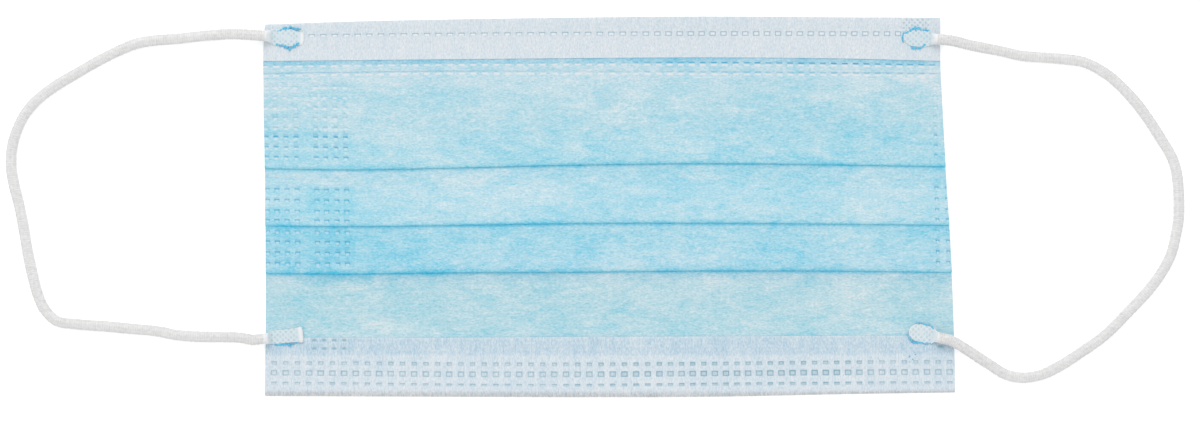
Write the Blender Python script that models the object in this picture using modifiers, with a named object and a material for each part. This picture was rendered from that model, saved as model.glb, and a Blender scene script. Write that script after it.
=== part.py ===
"""Pleated face mask lying flat, front up, with two bound edges and two ear loops.

Metres, +Z up. X runs along the width of the mask and Y from its bottom edge to its top edge.
The origin is the middle of the mask's footprint, on the surface that it lies on.
"""
import math

import bmesh
import bpy
import numpy as np

# Cloth
CLOTH_WALL = 0.0010
LAYER_GAP = 0.0003

# Mask with its pleats closed: each panel's visible height, from the top edge down
MASK_WIDTH = 0.1769
TOP_PANEL_SHOW = 0.0380
SECOND_PANEL_SHOW = 0.0150
THIRD_PANEL_SHOW = 0.0124
BOTTOM_PANEL_SHOW = 0.0320
PLEAT_DEPTH = 0.0114
LOUVRE_RUN = 0.0130

# White bands folded over the two long edges
TOP_BAND = 0.0107
BOTTOM_BAND = 0.0152

# Ear loops and their flattened, welded ends
CORD_DIAMETER = 0.0028
CORD_END_LENGTH = 0.0096
CORD_END_WIDTH = 0.0049
CORD_END_THICKNESS = 0.0009
CORD_END_INSET = 0.0057
TOP_END_DROP = 0.0046
BOTTOM_END_RISE = 0.0151

# Mesh spacing
LOFT_STEP = 0.0033
WIDTH_STEPS = 16
FOLD_STEPS = 6
FLAP_STEPS = 4
HEM_STEPS = 4
RING_SIDES = 12
CORD_STEP = 2.0 * CORD_DIAMETER
CORD_SAMPLES_PER_ROUTE_POINT = 12

# What follows from those sizes
LAYER_PITCH = CLOTH_WALL + LAYER_GAP
HEM_ROUND = CLOTH_WALL / 2 + LAYER_GAP
BODY_INSET = CLOTH_WALL + LAYER_GAP
FIRST_LINE = TOP_PANEL_SHOW
SECOND_LINE = FIRST_LINE + SECOND_PANEL_SHOW
THIRD_LINE = SECOND_LINE + THIRD_PANEL_SHOW
MASK_HEIGHT = THIRD_LINE + BOTTOM_PANEL_SHOW
CORD_RADIUS = CORD_DIAMETER / 2

# Sag of the long edges and pleat lines, as shares of the mask's height, downward,
# and how much of each band shows, as shares of its height
# across: share of the width, left to right
LINE_COLUMNS = ("across", "top", "line_1", "line_2", "line_3", "bottom", "top_band", "bottom_band")
LINE_TABLE = np.array((
    (0.00, 0.0215, 0.0110, 0.0065, 0.0050, -0.0025, 0.885, 0.975),
    (0.13, 0.0135, 0.0135, 0.0090, 0.0065, -0.0020, 0.930, 0.980),
    (0.26, 0.0080, 0.0095, 0.0060, 0.0035, -0.0020, 0.975, 0.980),
    (0.45, 0.0025, 0.0015, 0.0000, 0.0010, 0.0000, 0.990, 1.000),
    (0.64, 0.0000, -0.0030, 0.0000, -0.0015, -0.0025, 1.000, 1.000),
    (0.86, 0.0030, 0.0015, 0.0025, 0.0000, -0.0090, 1.000, 0.965),
    (1.00, 0.0030, 0.0060, 0.0050, 0.0020, -0.0130, 1.055, 0.940),
))

# How far each side edge stands in from the widest place, as shares of the mask's width
# down: share of the height, top to bottom
SIDE_COLUMNS = ("down", "left_in", "right_in")
SIDE_TABLE = np.array((
    (0.00, 0.0025, 0.0215),
    (0.10, 0.0000, 0.0215),
    (0.20, 0.0005, 0.0195),
    (0.40, 0.0030, 0.0140),
    (0.65, 0.0040, 0.0055),
    (0.85, 0.0035, 0.0015),
    (1.00, 0.0025, 0.0000),
))

# Sections of a cord end, from the round cord to the free tip
# Columns: along, spread, flat, power
# along: share of its length
# spread: 0 at the cord's width, 1 at the end's full width
# flat: 0 at the cord's thickness, 1 at the end's thickness
# power: 2 is an ellipse, more is squarer
END_TABLE = np.array((
    (0.00, 0.00, 0.00, 2.0),
    (0.08, 0.05, 0.22, 2.1),
    (0.20, 0.55, 0.80, 2.6),
    (0.32, 0.92, 1.00, 3.2),
    (0.52, 1.00, 1.00, 3.4),
    (0.72, 0.88, 0.98, 3.2),
    (0.84, 0.62, 0.84, 2.8),
    (1.00, 0.55, 0.80, 2.8),
))

# Cord ends: side is -1 on the left, row is 1 at the top edge
# inset: share of the named inset, from the side edge to the middle of the end
# reach: share of the named drop or rise, from the long edge to the middle of the end
# tilt: rise towards the middle of the mask, in degrees; length: share of the named length
CORD_ENDS = (
    {"name": "cord_end_top_left", "side": -1, "row": 1,
     "inset": 1.00, "reach": 0.83, "tilt": -4.0, "length": 1.00},
    {"name": "cord_end_bottom_left", "side": -1, "row": -1,
     "inset": 0.86, "reach": 1.03, "tilt": 6.0, "length": 1.00},
    {"name": "cord_end_top_right", "side": 1, "row": 1,
     "inset": 1.07, "reach": 1.17, "tilt": 5.0, "length": 0.98},
    {"name": "cord_end_bottom_right", "side": 1, "row": -1,
     "inset": 1.50, "reach": 1.04, "tilt": 13.0, "length": 0.86},
)

# Points chosen along each ear loop, from its top end round to its bottom end
# Columns: out, up, lift
# out: distance outward from the mask's widest place; up: height above its middle
# lift: 1 at the height of the cord ends, 0 on the surface
LEFT_ROUTE = (
    (0.0082, 0.0439, 0.66),
    (0.0146, 0.0435, 0.30),
    (0.0223, 0.0427, 0.06),
    (0.0286, 0.0422, 0.00),
    (0.0323, 0.0415, 0.00),
    (0.0359, 0.0401, 0.00),
    (0.0420, 0.0371, 0.00),
    (0.0481, 0.0336, 0.00),
    (0.0528, 0.0308, 0.00),
    (0.0569, 0.0278, 0.00),
    (0.0598, 0.0248, 0.00),
    (0.0621, 0.0211, 0.00),
    (0.0637, 0.0167, 0.00),
    (0.0643, 0.0129, 0.00),
    (0.0643, 0.0100, 0.00),
    (0.0637, 0.0059, 0.00),
    (0.0626, 0.0016, 0.00),
    (0.0613, -0.0046, 0.00),
    (0.0601, -0.0117, 0.00),
    (0.0589, -0.0173, 0.00),
    (0.0577, -0.0220, 0.00),
    (0.0558, -0.0263, 0.00),
    (0.0527, -0.0293, 0.00),
    (0.0480, -0.0301, 0.00),
    (0.0405, -0.0307, 0.00),
    (0.0339, -0.0313, 0.00),
    (0.0268, -0.0320, 0.00),
    (0.0221, -0.0329, 0.05),
    (0.0174, -0.0333, 0.20),
    (0.0103, -0.0334, 0.55),
    (0.0052, -0.0336, 0.86),
)
RIGHT_ROUTE = (
    (0.0039, 0.0410, 0.88),
    (0.0117, 0.0395, 0.45),
    (0.0168, 0.0384, 0.18),
    (0.0235, 0.0379, 0.02),
    (0.0291, 0.0374, 0.00),
    (0.0324, 0.0369, 0.00),
    (0.0359, 0.0354, 0.00),
    (0.0395, 0.0331, 0.00),
    (0.0424, 0.0305, 0.00),
    (0.0460, 0.0266, 0.00),
    (0.0493, 0.0222, 0.00),
    (0.0525, 0.0172, 0.00),
    (0.0555, 0.0120, 0.00),
    (0.0564, 0.0091, 0.00),
    (0.0569, 0.0052, 0.00),
    (0.0571, 0.0006, 0.00),
    (0.0570, -0.0035, 0.00),
    (0.0564, -0.0071, 0.00),
    (0.0550, -0.0125, 0.00),
    (0.0526, -0.0171, 0.00),
    (0.0487, -0.0222, 0.00),
    (0.0440, -0.0272, 0.00),
    (0.0383, -0.0329, 0.00),
    (0.0319, -0.0375, 0.00),
    (0.0262, -0.0411, 0.00),
    (0.0219, -0.0431, 0.00),
    (0.0182, -0.0438, 0.00),
    (0.0150, -0.0436, 0.02),
    (0.0120, -0.0426, 0.10),
    (0.0097, -0.0411, 0.27),
    (0.0064, -0.0390, 0.56),
    (0.0032, -0.0369, 0.86),
)

# Finishes: colour, roughness
BLUE_CLOTH = ((0.43, 0.71, 0.82, 1.0), 0.85)
WHITE_CLOTH = ((0.72, 0.77, 0.81, 1.0), 0.85)
WHITE_CORD = ((0.85, 0.85, 0.84, 1.0), 0.90)


def smooth_through(stations, values, at):
    """Cubic Hermite curve through rows of values, its slopes taken from each row's neighbours."""
    stations = np.asarray(stations, dtype=float)
    values = np.asarray(values, dtype=float)
    slopes = np.gradient(values, stations, axis=0)
    index = np.clip(np.searchsorted(stations, at, side="right") - 1, 0, len(stations) - 2)
    width = stations[index + 1] - stations[index]
    share = (at - stations[index]) / width
    if values.ndim > 1:
        width = width[:, None]
        share = share[:, None]
    rest = 1.0 - share
    start = values[index] * (1.0 + 2.0 * share) * rest ** 2 + slopes[index] * width * share * rest ** 2
    end = (values[index + 1] * (3.0 - 2.0 * share) * share ** 2
           - slopes[index + 1] * width * rest * share ** 2)
    return start + end


def column(table, columns, name, at):
    """Value of a table's named column at the given places along its first column."""
    return smooth_through(table[:, 0], table[:, columns.index(name)], at)


def place_on_mask(across, down):
    """x and y of a place given as a share of the width and a distance down from the top edge.

    The long edges and the pleat lines sag a little, and the cloth between them follows in proportion.
    """
    anchors = np.array((0.0, FIRST_LINE, SECOND_LINE, THIRD_LINE, MASK_HEIGHT))
    names = ("top", "line_1", "line_2", "line_3", "bottom")
    sags = np.stack([column(LINE_TABLE, LINE_COLUMNS, name, across) for name in names], axis=-1)
    span = np.clip(np.searchsorted(anchors, down, side="right") - 1, 0, len(anchors) - 2)
    share = (down - anchors[span]) / (anchors[span + 1] - anchors[span])
    rows = np.arange(len(across))
    sag = sags[rows, span] * (1.0 - share) + sags[rows, span + 1] * share
    y = MASK_HEIGHT / 2 - down - sag * MASK_HEIGHT
    height_share = np.clip(down / MASK_HEIGHT, 0.0, 1.0)
    left = -MASK_WIDTH / 2 + column(SIDE_TABLE, SIDE_COLUMNS, "left_in", height_share) * MASK_WIDTH
    right = MASK_WIDTH / 2 - column(SIDE_TABLE, SIDE_COLUMNS, "right_in", height_share) * MASK_WIDTH
    return left + (right - left) * across, y


def layer_spans():
    """Highest and lowest place of each layer of cloth, in the order in which the cloth runs down."""
    lines = (FIRST_LINE, SECOND_LINE, THIRD_LINE)
    spans = []
    start = BODY_INSET
    for line in lines:
        spans.append((start, line))
        spans.append((line - PLEAT_DEPTH, line))
        start = line - PLEAT_DEPTH
    spans.append((start, MASK_HEIGHT - BODY_INSET))
    return spans


def layer_height(layer, down):
    """Height of a layer's middle: one pitch for each later layer under it.

    A layer rises over the cloth that begins under it along a smooth ramp, one run long.
    """
    height = np.full(np.shape(down), CLOTH_WALL / 2)
    for start, _ in layer_spans()[layer + 1:]:
        share = np.clip((down - start + LOUVRE_RUN) / LOUVRE_RUN, 0.0, 1.0)
        height = height + LAYER_PITCH * share ** 2 * (3.0 - 2.0 * share)
    return height


def fold_arc(layer, down, facing):
    """Half circle from the end of one layer to the start of the next, leant with the cloth's slope."""
    upper = layer_height(layer, down)
    lower = layer_height(layer + 1, down)
    reach = LAYER_GAP
    slope = (layer_height(layer, down + reach) - layer_height(layer, down - reach)) / (2 * reach)
    length = math.hypot(1.0, slope)
    radius = (upper - lower) / 2
    turn = np.linspace(0.0, math.pi, FOLD_STEPS + 1)[1:-1]
    arc_down = down + radius * np.sin(turn) * facing / length
    arc_height = (upper + lower) / 2 + radius * np.cos(turn) + radius * np.sin(turn) * facing * slope / length
    return np.column_stack((arc_down, arc_height))


def body_profile():
    """Distance down and height of the body's middle line, from its top hem to its bottom hem."""
    bulge = (LAYER_PITCH + CLOTH_WALL) / 2
    stations = np.arange(LOFT_STEP, MASK_HEIGHT, LOFT_STEP)
    spans = layer_spans()
    last = len(spans) - 1
    pieces = []
    for layer, (highest, lowest) in enumerate(spans):
        start = highest + (bulge if layer > 0 else 0.0)
        end = lowest - (bulge if layer < last else 0.0)
        clear = LOFT_STEP / 3
        between = stations[(stations > start + clear) & (stations < end - clear)]
        run = np.concatenate(((start,), between, (end,)))
        runs_back = layer % 2 == 1
        if runs_back:
            run = run[::-1]
        pieces.append(np.column_stack((run, layer_height(layer, run))))
        if layer < last:
            pieces.append(fold_arc(layer, run[-1], -1.0 if runs_back else 1.0))
    return np.concatenate(pieces)


def sheet_mesh(name, x, y, z):
    """Mesh of a grid of points: one row for each station across, one column for each place down."""
    rows, columns = x.shape
    corners = np.arange(rows * columns).reshape(rows, columns)
    faces = np.stack((corners[:-1, :-1], corners[:-1, 1:], corners[1:, 1:], corners[1:, :-1]), axis=-1)
    mesh = bpy.data.meshes.new(name)
    points = np.stack((x, y, z), axis=-1).reshape(-1, 3)
    mesh.from_pydata(points.tolist(), [], faces.reshape(-1, 4).tolist())
    mesh.shade_smooth()
    return mesh


def add_piece(name, data, finish, collection):
    """Put mesh or curve data in the scene as one named piece with its own finish."""
    piece = bpy.data.objects.new(name, data)
    material = bpy.data.materials.new(name + "_finish")
    material.use_nodes = True
    shader = material.node_tree.nodes["Principled BSDF"]
    colour, roughness = finish
    shader.inputs["Base Color"].default_value = colour
    shader.inputs["Roughness"].default_value = roughness
    shader.inputs["Metallic"].default_value = 0.0
    data.materials.append(material)
    collection.objects.link(piece)
    return piece


def thicken(piece):
    """Give an open sheet the thickness of the cloth, half on each side of its middle."""
    wall = piece.modifiers.new("cloth_wall", "SOLIDIFY")
    wall.thickness = CLOTH_WALL
    wall.offset = 0.0
    wall.use_even_offset = False


def add_body(collection):
    """Cloth body: the folded profile carried across the width, following its edges and pleat lines."""
    profile = body_profile()
    across = np.linspace(0.0, 1.0, WIDTH_STEPS + 1)
    across_grid = np.repeat(across, len(profile))
    down_grid = np.tile(profile[:, 0], len(across))
    x, y = place_on_mask(across_grid, down_grid)
    shape = (len(across), len(profile))
    z = np.tile(profile[:, 1], len(across)).reshape(shape)
    mesh = sheet_mesh("pleated_body", x.reshape(shape), y.reshape(shape), z)
    thicken(add_piece("pleated_body", mesh, BLUE_CLOTH, collection))


def add_binding(name, at_top, collection):
    """White band folded over a long edge: a flap on the front, a quarter round and a leg down the edge.

    The flap lies one layer above the body and follows its height; the leg ends on the surface.
    """
    layer = 0 if at_top else len(layer_spans()) - 1
    across = np.linspace(0.0, 1.0, WIDTH_STEPS + 1)
    band = TOP_BAND if at_top else BOTTOM_BAND
    shown = band * column(LINE_TABLE, LINE_COLUMNS, "top_band" if at_top else "bottom_band", across)
    fold_start = CLOTH_WALL / 2 + HEM_ROUND
    flap_share = np.linspace(1.0, 0.0, FLAP_STEPS, endpoint=False)
    turn = np.linspace(0.0, math.pi / 2, HEM_STEPS + 1)
    flap = fold_start + flap_share[None, :] * (shown[:, None] - fold_start)
    edge = np.append(fold_start - HEM_ROUND * np.sin(turn), CLOTH_WALL / 2)
    from_edge = np.hstack((flap, np.tile(edge, (len(across), 1))))
    down = from_edge if at_top else MASK_HEIGHT - from_edge
    drop = np.concatenate((np.zeros(FLAP_STEPS), HEM_ROUND * (1.0 - np.cos(turn)), (0.0,)))
    z = layer_height(layer, down) + LAYER_PITCH - drop
    z[:, -1] = 0.0
    x, y = place_on_mask(np.repeat(across, down.shape[1]), down.reshape(-1))
    mesh = sheet_mesh(name, x.reshape(down.shape), y.reshape(down.shape), z)
    thicken(add_piece(name, mesh, WHITE_CLOTH, collection))


def cord_end_place(end):
    """Middle, unit direction from cord to tip, length and seat height of one cord end."""
    at_top = end["row"] > 0
    from_edge = (TOP_END_DROP if at_top else BOTTOM_END_RISE) * end["reach"]
    down = from_edge if at_top else MASK_HEIGHT - from_edge
    inset_share = CORD_END_INSET * end["inset"] / MASK_WIDTH
    across = inset_share if end["side"] < 0 else 1.0 - inset_share
    x, y = place_on_mask(np.array((across,)), np.array((down,)))
    tilt = math.radians(end["tilt"])
    direction = np.array((-end["side"] * math.cos(tilt), math.sin(tilt)))
    layer = 0 if at_top else len(layer_spans()) - 1
    seat = float(layer_height(layer, down)) + LAYER_PITCH + CLOTH_WALL / 2 + LAYER_GAP
    return np.array((x[0], y[0])), direction, CORD_END_LENGTH * end["length"], seat


def ring(width, thickness, power):
    """Closed section across a cord end: a superellipse, as offsets sideways and up."""
    turn = np.arange(RING_SIDES) * 2.0 * math.pi / RING_SIDES
    sideways = width / 2 * np.sign(np.cos(turn)) * np.abs(np.cos(turn)) ** (2.0 / power)
    up = thickness / 2 * np.sign(np.sin(turn)) * np.abs(np.sin(turn)) ** (2.0 / power)
    return sideways, up


def add_cord_end(end, collection):
    """Flattened cord end: sections from the round cord to the flat weld and the loose tip."""
    middle, direction, length, seat = cord_end_place(end)
    sideways_axis = np.array((-direction[1], direction[0]))
    shaper = bmesh.new()
    rings = []
    for along, spread, flat, power in END_TABLE:
        width = CORD_DIAMETER + (CORD_END_WIDTH - CORD_DIAMETER) * spread
        thickness = CORD_DIAMETER + (CORD_END_THICKNESS - CORD_DIAMETER) * flat
        sideways, up = ring(width, thickness, power)
        centre = middle + direction * length * (along - 0.5)
        flat_places = centre[None, :] + sideways[:, None] * sideways_axis[None, :]
        heights = seat + thickness / 2 + up
        rings.append([shaper.verts.new((x, y, z)) for (x, y), z in zip(flat_places, heights)])
    for near, far in zip(rings[:-1], rings[1:]):
        for side in range(RING_SIDES):
            after = (side + 1) % RING_SIDES
            shaper.faces.new((near[side], near[after], far[after], far[side]))
    shaper.faces.new(rings[0][::-1])
    shaper.faces.new(rings[-1])
    bmesh.ops.recalc_face_normals(shaper, faces=shaper.faces)
    mesh = bpy.data.meshes.new(end["name"])
    shaper.to_mesh(mesh)
    shaper.free()
    mesh.shade_smooth()
    mesh.set_sharp_from_angle(angle=math.radians(50.0))
    add_piece(end["name"], mesh, WHITE_CORD, collection)


def loop_route(side, rows):
    """Route points of an ear loop: straight out of its top end, along its rows, into its bottom end."""
    ends = [end for end in CORD_ENDS if end["side"] == side]
    ends.sort(key=lambda end: -end["row"])
    leads = []
    for end in ends:
        middle, direction, length, seat = cord_end_place(end)
        root = middle - direction * (length / 2 + LAYER_GAP)
        height = seat + CORD_RADIUS
        lead = root - direction * CORD_DIAMETER
        leads.append((np.append(root, height), np.append(lead, height)))
    top_height = leads[0][0][2]
    bottom_height = leads[1][0][2]
    points = [leads[0][0], leads[0][1]]
    for index, (out, up, lift) in enumerate(rows):
        end_height = top_height if index < len(rows) / 2 else bottom_height
        x = side * (MASK_WIDTH / 2 + out)
        points.append(np.array((x, up, CORD_RADIUS + lift * (end_height - CORD_RADIUS))))
    points += [leads[1][1], leads[1][0]]
    return np.array(points)


def even_points(route):
    """Points at even steps on one smooth curve through the route, never under the surface.

    The first and last stretch are straight, so that each end of the cord is square to its cord end.
    """
    gaps = np.linalg.norm(np.diff(route, axis=0), axis=1)
    stations = np.concatenate(((0.0,), np.cumsum(gaps)))
    fine = np.linspace(stations[1], stations[-2], len(route) * CORD_SAMPLES_PER_ROUTE_POINT)
    curve = smooth_through(stations, route, fine)
    run = np.concatenate(((0.0,), np.cumsum(np.linalg.norm(np.diff(curve, axis=0), axis=1))))
    steps = max(2, round(run[-1] / CORD_STEP))
    even = np.linspace(0.0, run[-1], steps + 1)
    points = np.column_stack([np.interp(even, run, curve[:, axis]) for axis in range(3)])
    points[:, 2] = np.maximum(points[:, 2], CORD_RADIUS)
    return np.vstack((route[:1], points, route[-1:]))


def add_ear_loop(name, side, rows, collection):
    """Free round cord from one end to the other."""
    points = even_points(loop_route(side, rows))
    curve = bpy.data.curves.new(name, "CURVE")
    curve.dimensions = "3D"
    curve.bevel_depth = CORD_RADIUS
    curve.bevel_resolution = 2
    curve.use_fill_caps = True
    spline = curve.splines.new("POLY")
    spline.points.add(len(points) - 1)
    spline.points.foreach_set("co", np.column_stack((points, np.ones(len(points)))).ravel())
    spline.use_smooth = True
    add_piece(name, curve, WHITE_CORD, collection)


def main():
    """Clear the scene and build the mask."""
    for item in list(bpy.data.objects):
        bpy.data.objects.remove(item, do_unlink=True)
    collection = bpy.data.collections.new("surgical_face_mask")
    bpy.context.scene.collection.children.link(collection)
    add_body(collection)
    add_binding("top_binding", True, collection)
    add_binding("bottom_binding", False, collection)
    for end in CORD_ENDS:
        add_cord_end(end, collection)
    add_ear_loop("left_ear_loop", -1, LEFT_ROUTE, collection)
    add_ear_loop("right_ear_loop", 1, RIGHT_ROUTE, collection)


main()
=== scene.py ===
"""Look of a pleated face mask lying flat on a pale table, front up, seen from straight above.

Metres, +Z up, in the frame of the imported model. Every new surface is a formula on a grid:
the first direction of a grid runs down the mask or along a cord, the second across or around it.
"""

import functools
import math

import bpy
import numpy as np
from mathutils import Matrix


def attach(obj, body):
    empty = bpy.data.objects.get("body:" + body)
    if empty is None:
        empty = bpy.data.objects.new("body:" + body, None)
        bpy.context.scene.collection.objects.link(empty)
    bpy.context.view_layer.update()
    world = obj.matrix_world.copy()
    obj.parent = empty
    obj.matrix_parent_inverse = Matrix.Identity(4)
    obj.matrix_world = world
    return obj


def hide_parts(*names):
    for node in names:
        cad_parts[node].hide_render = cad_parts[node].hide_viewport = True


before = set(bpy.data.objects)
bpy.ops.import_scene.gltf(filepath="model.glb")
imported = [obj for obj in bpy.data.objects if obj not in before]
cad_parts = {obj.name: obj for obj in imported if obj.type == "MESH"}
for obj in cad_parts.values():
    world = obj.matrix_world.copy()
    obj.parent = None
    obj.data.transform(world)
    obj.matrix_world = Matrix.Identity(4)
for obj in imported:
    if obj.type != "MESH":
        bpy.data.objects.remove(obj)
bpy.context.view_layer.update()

MM = 0.001
FULL_TURN = 2.0 * math.pi
SHARP_DEGREES = 60.0

# Mask
MASK_WIDTH = 0.1769
MASK_HEIGHT = 0.0974
FIRST_LINE = 0.0380
SECOND_LINE = 0.0530
THIRD_LINE = 0.0654
PLEAT_DEPTH = 0.0114
LOUVRE_RUN = 0.0130
TOP_HEM = 0.0022
BOTTOM_HEM = 0.0956
MM_ACROSS = MM / MASK_WIDTH
# The UV map runs by 1 in this distance down
UV_DOWN = 0.1

# Cloth plies
LOWEST_PLY_HEIGHT = 0.60 * MM
PLY_WALL = 0.16 * MM
OUTER_PLY = 0.12 * MM
INNER_PLY = -0.10 * MM
SIDE_PITCH = 0.40 * MM
MIDDLE_PITCH = 0.50 * MM
HIDDEN_ROW_STEP = 0.0035

# Cords
CORD_DIAMETER = 0.0028
CORD_RADIUS = CORD_DIAMETER / 2
CORD_RING_STEP = 0.15 * MM
CORD_SIDES = 22
RIB_PITCH = 0.60 * MM
ROOT_HEIGHT = 3.10 * MM
CORD_END_RINGS = 110
CORD_END_SIDES = 64
FUZZ_COUNT = 420

# Welds: height of the cloth under a flattened end, and of the middle of a melted bead above it
TOP_SEAT = 1.12 * MM
BOTTOM_SEAT = 0.98 * MM
BEAD_LIFT = 0.32 * MM
BEAD_SIDES = 12
PIT_PITCH = 1.40 * MM
# Stray print on the top band: limits across as shares of the width, and down
PATCH_ACROSS = (0.9418, 0.9868)
PATCH_DOWN = (0.50 * MM, 4.10 * MM)

# Measured lines of the mask: height above its middle, in millimetres
# Columns: distance down from the top edge, then one height for each place across
LINE_ACROSS = (0.0, 0.13, 0.26, 0.45, 0.64, 0.86, 1.0)
LINE_HEIGHTS = np.array((
    (0.0, 46.6, 47.4, 47.9, 48.4, 48.7, 48.5, 48.4),
    (4.6, 43.4, 43.6, 43.8, 44.0, 44.1, 44.1, 44.1),
    (10.7, 37.1, 37.3, 37.5, 37.8, 38.0, 37.7, 37.1),
    (12.3, 35.8, 36.1, 36.3, 36.4, 36.4, 36.1, 35.8),
    (14.8, 33.4, 33.7, 34.0, 34.0, 33.9, 33.6, 33.4),
    (18.5, 30.0, 30.1, 30.1, 30.2, 30.3, 30.2, 30.1),
    (38.0, 9.6, 9.3, 9.7, 10.5, 10.9, 10.5, 10.1),
    (53.0, -5.0, -5.2, -4.9, -4.4, -4.3, -4.6, -4.9),
    (65.4, -17.2, -17.3, -17.0, -16.8, -16.5, -16.6, -16.9),
    (82.0, -33.6, -33.6, -33.6, -33.4, -33.3, -33.1, -33.1),
    (86.8, -38.1, -38.1, -38.1, -38.1, -38.1, -38.0, -37.8),
    (88.7, -39.9, -40.0, -40.2, -40.3, -40.1, -39.7, -39.6),
    (91.3, -42.5, -42.7, -42.9, -42.9, -42.7, -42.4, -42.3),
    (93.9, -45.0, -45.2, -45.5, -45.6, -45.3, -45.0, -44.9),
    (96.3, -47.5, -47.5, -47.6, -47.7, -47.7, -47.4, -47.2),
    (97.4, -48.7, -48.8, -48.9, -49.0, -48.9, -48.1, -47.7),
))

# How far each side edge stands in from the widest place, as shares of the mask's width
SIDE_TABLE = np.array((
    (0.00, 0.0025, 0.0215),
    (0.10, 0.0000, 0.0215),
    (0.20, 0.0005, 0.0195),
    (0.40, 0.0030, 0.0140),
    (0.65, 0.0040, 0.0055),
    (0.85, 0.0035, 0.0015),
    (1.00, 0.0025, 0.0000),
))

# Pressed marks: places across as shares of the width, places down in metres
SEAM_DASHES = np.interp(np.arange(60), (0, 34, 39, 59), (0.0024, 0.5842, 0.6654, 0.9876))
BAND_DASHES = np.interp(np.arange(53), (0, 30, 33, 52), (0.0708, 0.5818, 0.6312, 0.9376))
BAND_SQUARES = np.interp(np.arange(60), (0, 33, 49, 59), (0.0130, 0.5718, 0.8290, 0.9925))
LEFT_DIMPLES = np.array((0.0031, 0.0173, 0.0320, 0.0470, 0.0759, 0.0900, 0.1051, 0.1196))
# Side dimples down the mask: place down in millimetres, then how dark their upper edge is (painted shade),
# how light their lower edge is (painted highlight), half their width in millimetres, and how clear their
# outline is
DIMPLE_TABLE = (
    (18.3, 0.20, 0.90, 0.80, 0.0), (20.7, 0.20, 0.80, 0.72, 0.0), (23.3, 0.25, 0.80, 0.72, 0.0),
    (25.8, 0.35, 0.75, 0.70, 0.1), (28.2, 0.35, 0.70, 0.62, 0.1), (30.5, 1.00, 0.60, 0.62, 0.1),
    (33.0, 0.85, 0.60, 0.60, 0.2), (35.4, 0.75, 0.65, 0.60, 0.3), (40.6, 0.10, 0.10, 0.55, 0.1),
    (43.6, 0.70, 0.30, 0.60, 0.9), (46.4, 0.70, 0.40, 0.62, 1.0), (49.2, 0.65, 0.45, 0.62, 1.0),
    (51.7, 0.70, 0.40, 0.62, 1.0), (54.6, 0.40, 0.55, 0.62, 0.8), (57.3, 0.75, 0.45, 0.62, 1.1),
    (60.1, 0.75, 0.40, 0.60, 1.1), (62.9, 0.70, 0.40, 0.60, 1.1),
)
DIMPLE_ROWS = MM * np.array([row[0] for row in DIMPLE_TABLE])
BAND_DIMPLES = np.array((0.0710, 0.0853, 0.0995, 0.1144))
# Rows down in millimetres: the bottom band's dimples, the top band's dashes
BAND_DIMPLE_ROWS = np.array((82.9, 85.2))
TOP_DASH_ROW = 4.6
# Stamped squares of the bottom band, in millimetres: row down, half width, half height, depth,
# then how dark the upper, side and lower lines and the centre are
BOTTOM_SQUARES = (
    (88.90, 0.60, 0.40, 0.08, (0.78, 0.50, 0.40), 0.16),
    (91.40, 0.74, 0.60, 0.10, (0.76, 0.60, 0.60), 0.09),
    (94.15, 0.66, 0.30, 0.08, (0.86, 0.40, 0.30), 0.16),
)
# Where the mesh gets points round the middle of each mark, in millimetres
DASH_OFFSETS = (-0.88, -0.66, -0.22, 0.22, 0.66, 0.88)
DIMPLE_OFFSETS = (-0.80, -0.56, -0.28, 0.0, 0.28, 0.56, 0.80)
SQUARE_OFFSETS = (-0.92, -0.76, -0.62, -0.48, -0.24, 0.0, 0.24, 0.48, 0.62, 0.76, 0.92)
DIMPLE_ROW_OFFSETS = (-0.55, -0.38, -0.20, 0.02, 0.28, 0.52)

# Cord ends: middle, direction from cord to tip, length
CORD_ENDS = {
    "top_left": ((-0.08264, 0.04306), (0.998, -0.070), 0.0096),
    "bottom_left": ((-0.08295, -0.03328), (0.995, 0.105), 0.0096),
    "top_right": ((0.07866, 0.04300), (-0.996, 0.087), 0.0094),
    "bottom_right": ((0.07965, -0.03248), (-0.974, 0.225), 0.0083),
}

# Routes of the ear loops: distance outward from the widest place, height above the middle, lift
LEFT_ROOTS = ((-0.08772, 0.04342), (-0.09052, 0.04361), (-0.09080, -0.03411), (-0.08802, -0.03382))
LEFT_ROUTE = (
    (0.0082, 0.0439, 0.66), (0.0146, 0.0435, 0.30), (0.0223, 0.0427, 0.06), (0.0286, 0.0422, 0.0),
    (0.0323, 0.0415, 0.0), (0.0359, 0.0401, 0.0), (0.0420, 0.0371, 0.0), (0.0481, 0.0336, 0.0),
    (0.0528, 0.0308, 0.0), (0.0569, 0.0278, 0.0), (0.0598, 0.0248, 0.0), (0.0621, 0.0211, 0.0),
    (0.0637, 0.0167, 0.0), (0.0643, 0.0129, 0.0), (0.0643, 0.0100, 0.0), (0.0637, 0.0059, 0.0),
    (0.0626, 0.0016, 0.0), (0.0613, -0.0046, 0.0), (0.0601, -0.0117, 0.0), (0.0589, -0.0173, 0.0),
    (0.0577, -0.0220, 0.0), (0.0558, -0.0263, 0.0), (0.0527, -0.0293, 0.0), (0.0480, -0.0301, 0.0),
    (0.0405, -0.0307, 0.0), (0.0339, -0.0313, 0.0), (0.0268, -0.0320, 0.0), (0.0221, -0.0329, 0.05),
    (0.0174, -0.0333, 0.20), (0.0103, -0.0334, 0.55), (0.0052, -0.0336, 0.86),
)
RIGHT_ROOTS = ((0.08365, 0.04256), (0.08644, 0.04232), (0.08669, -0.03411), (0.08396, -0.03348))
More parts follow.
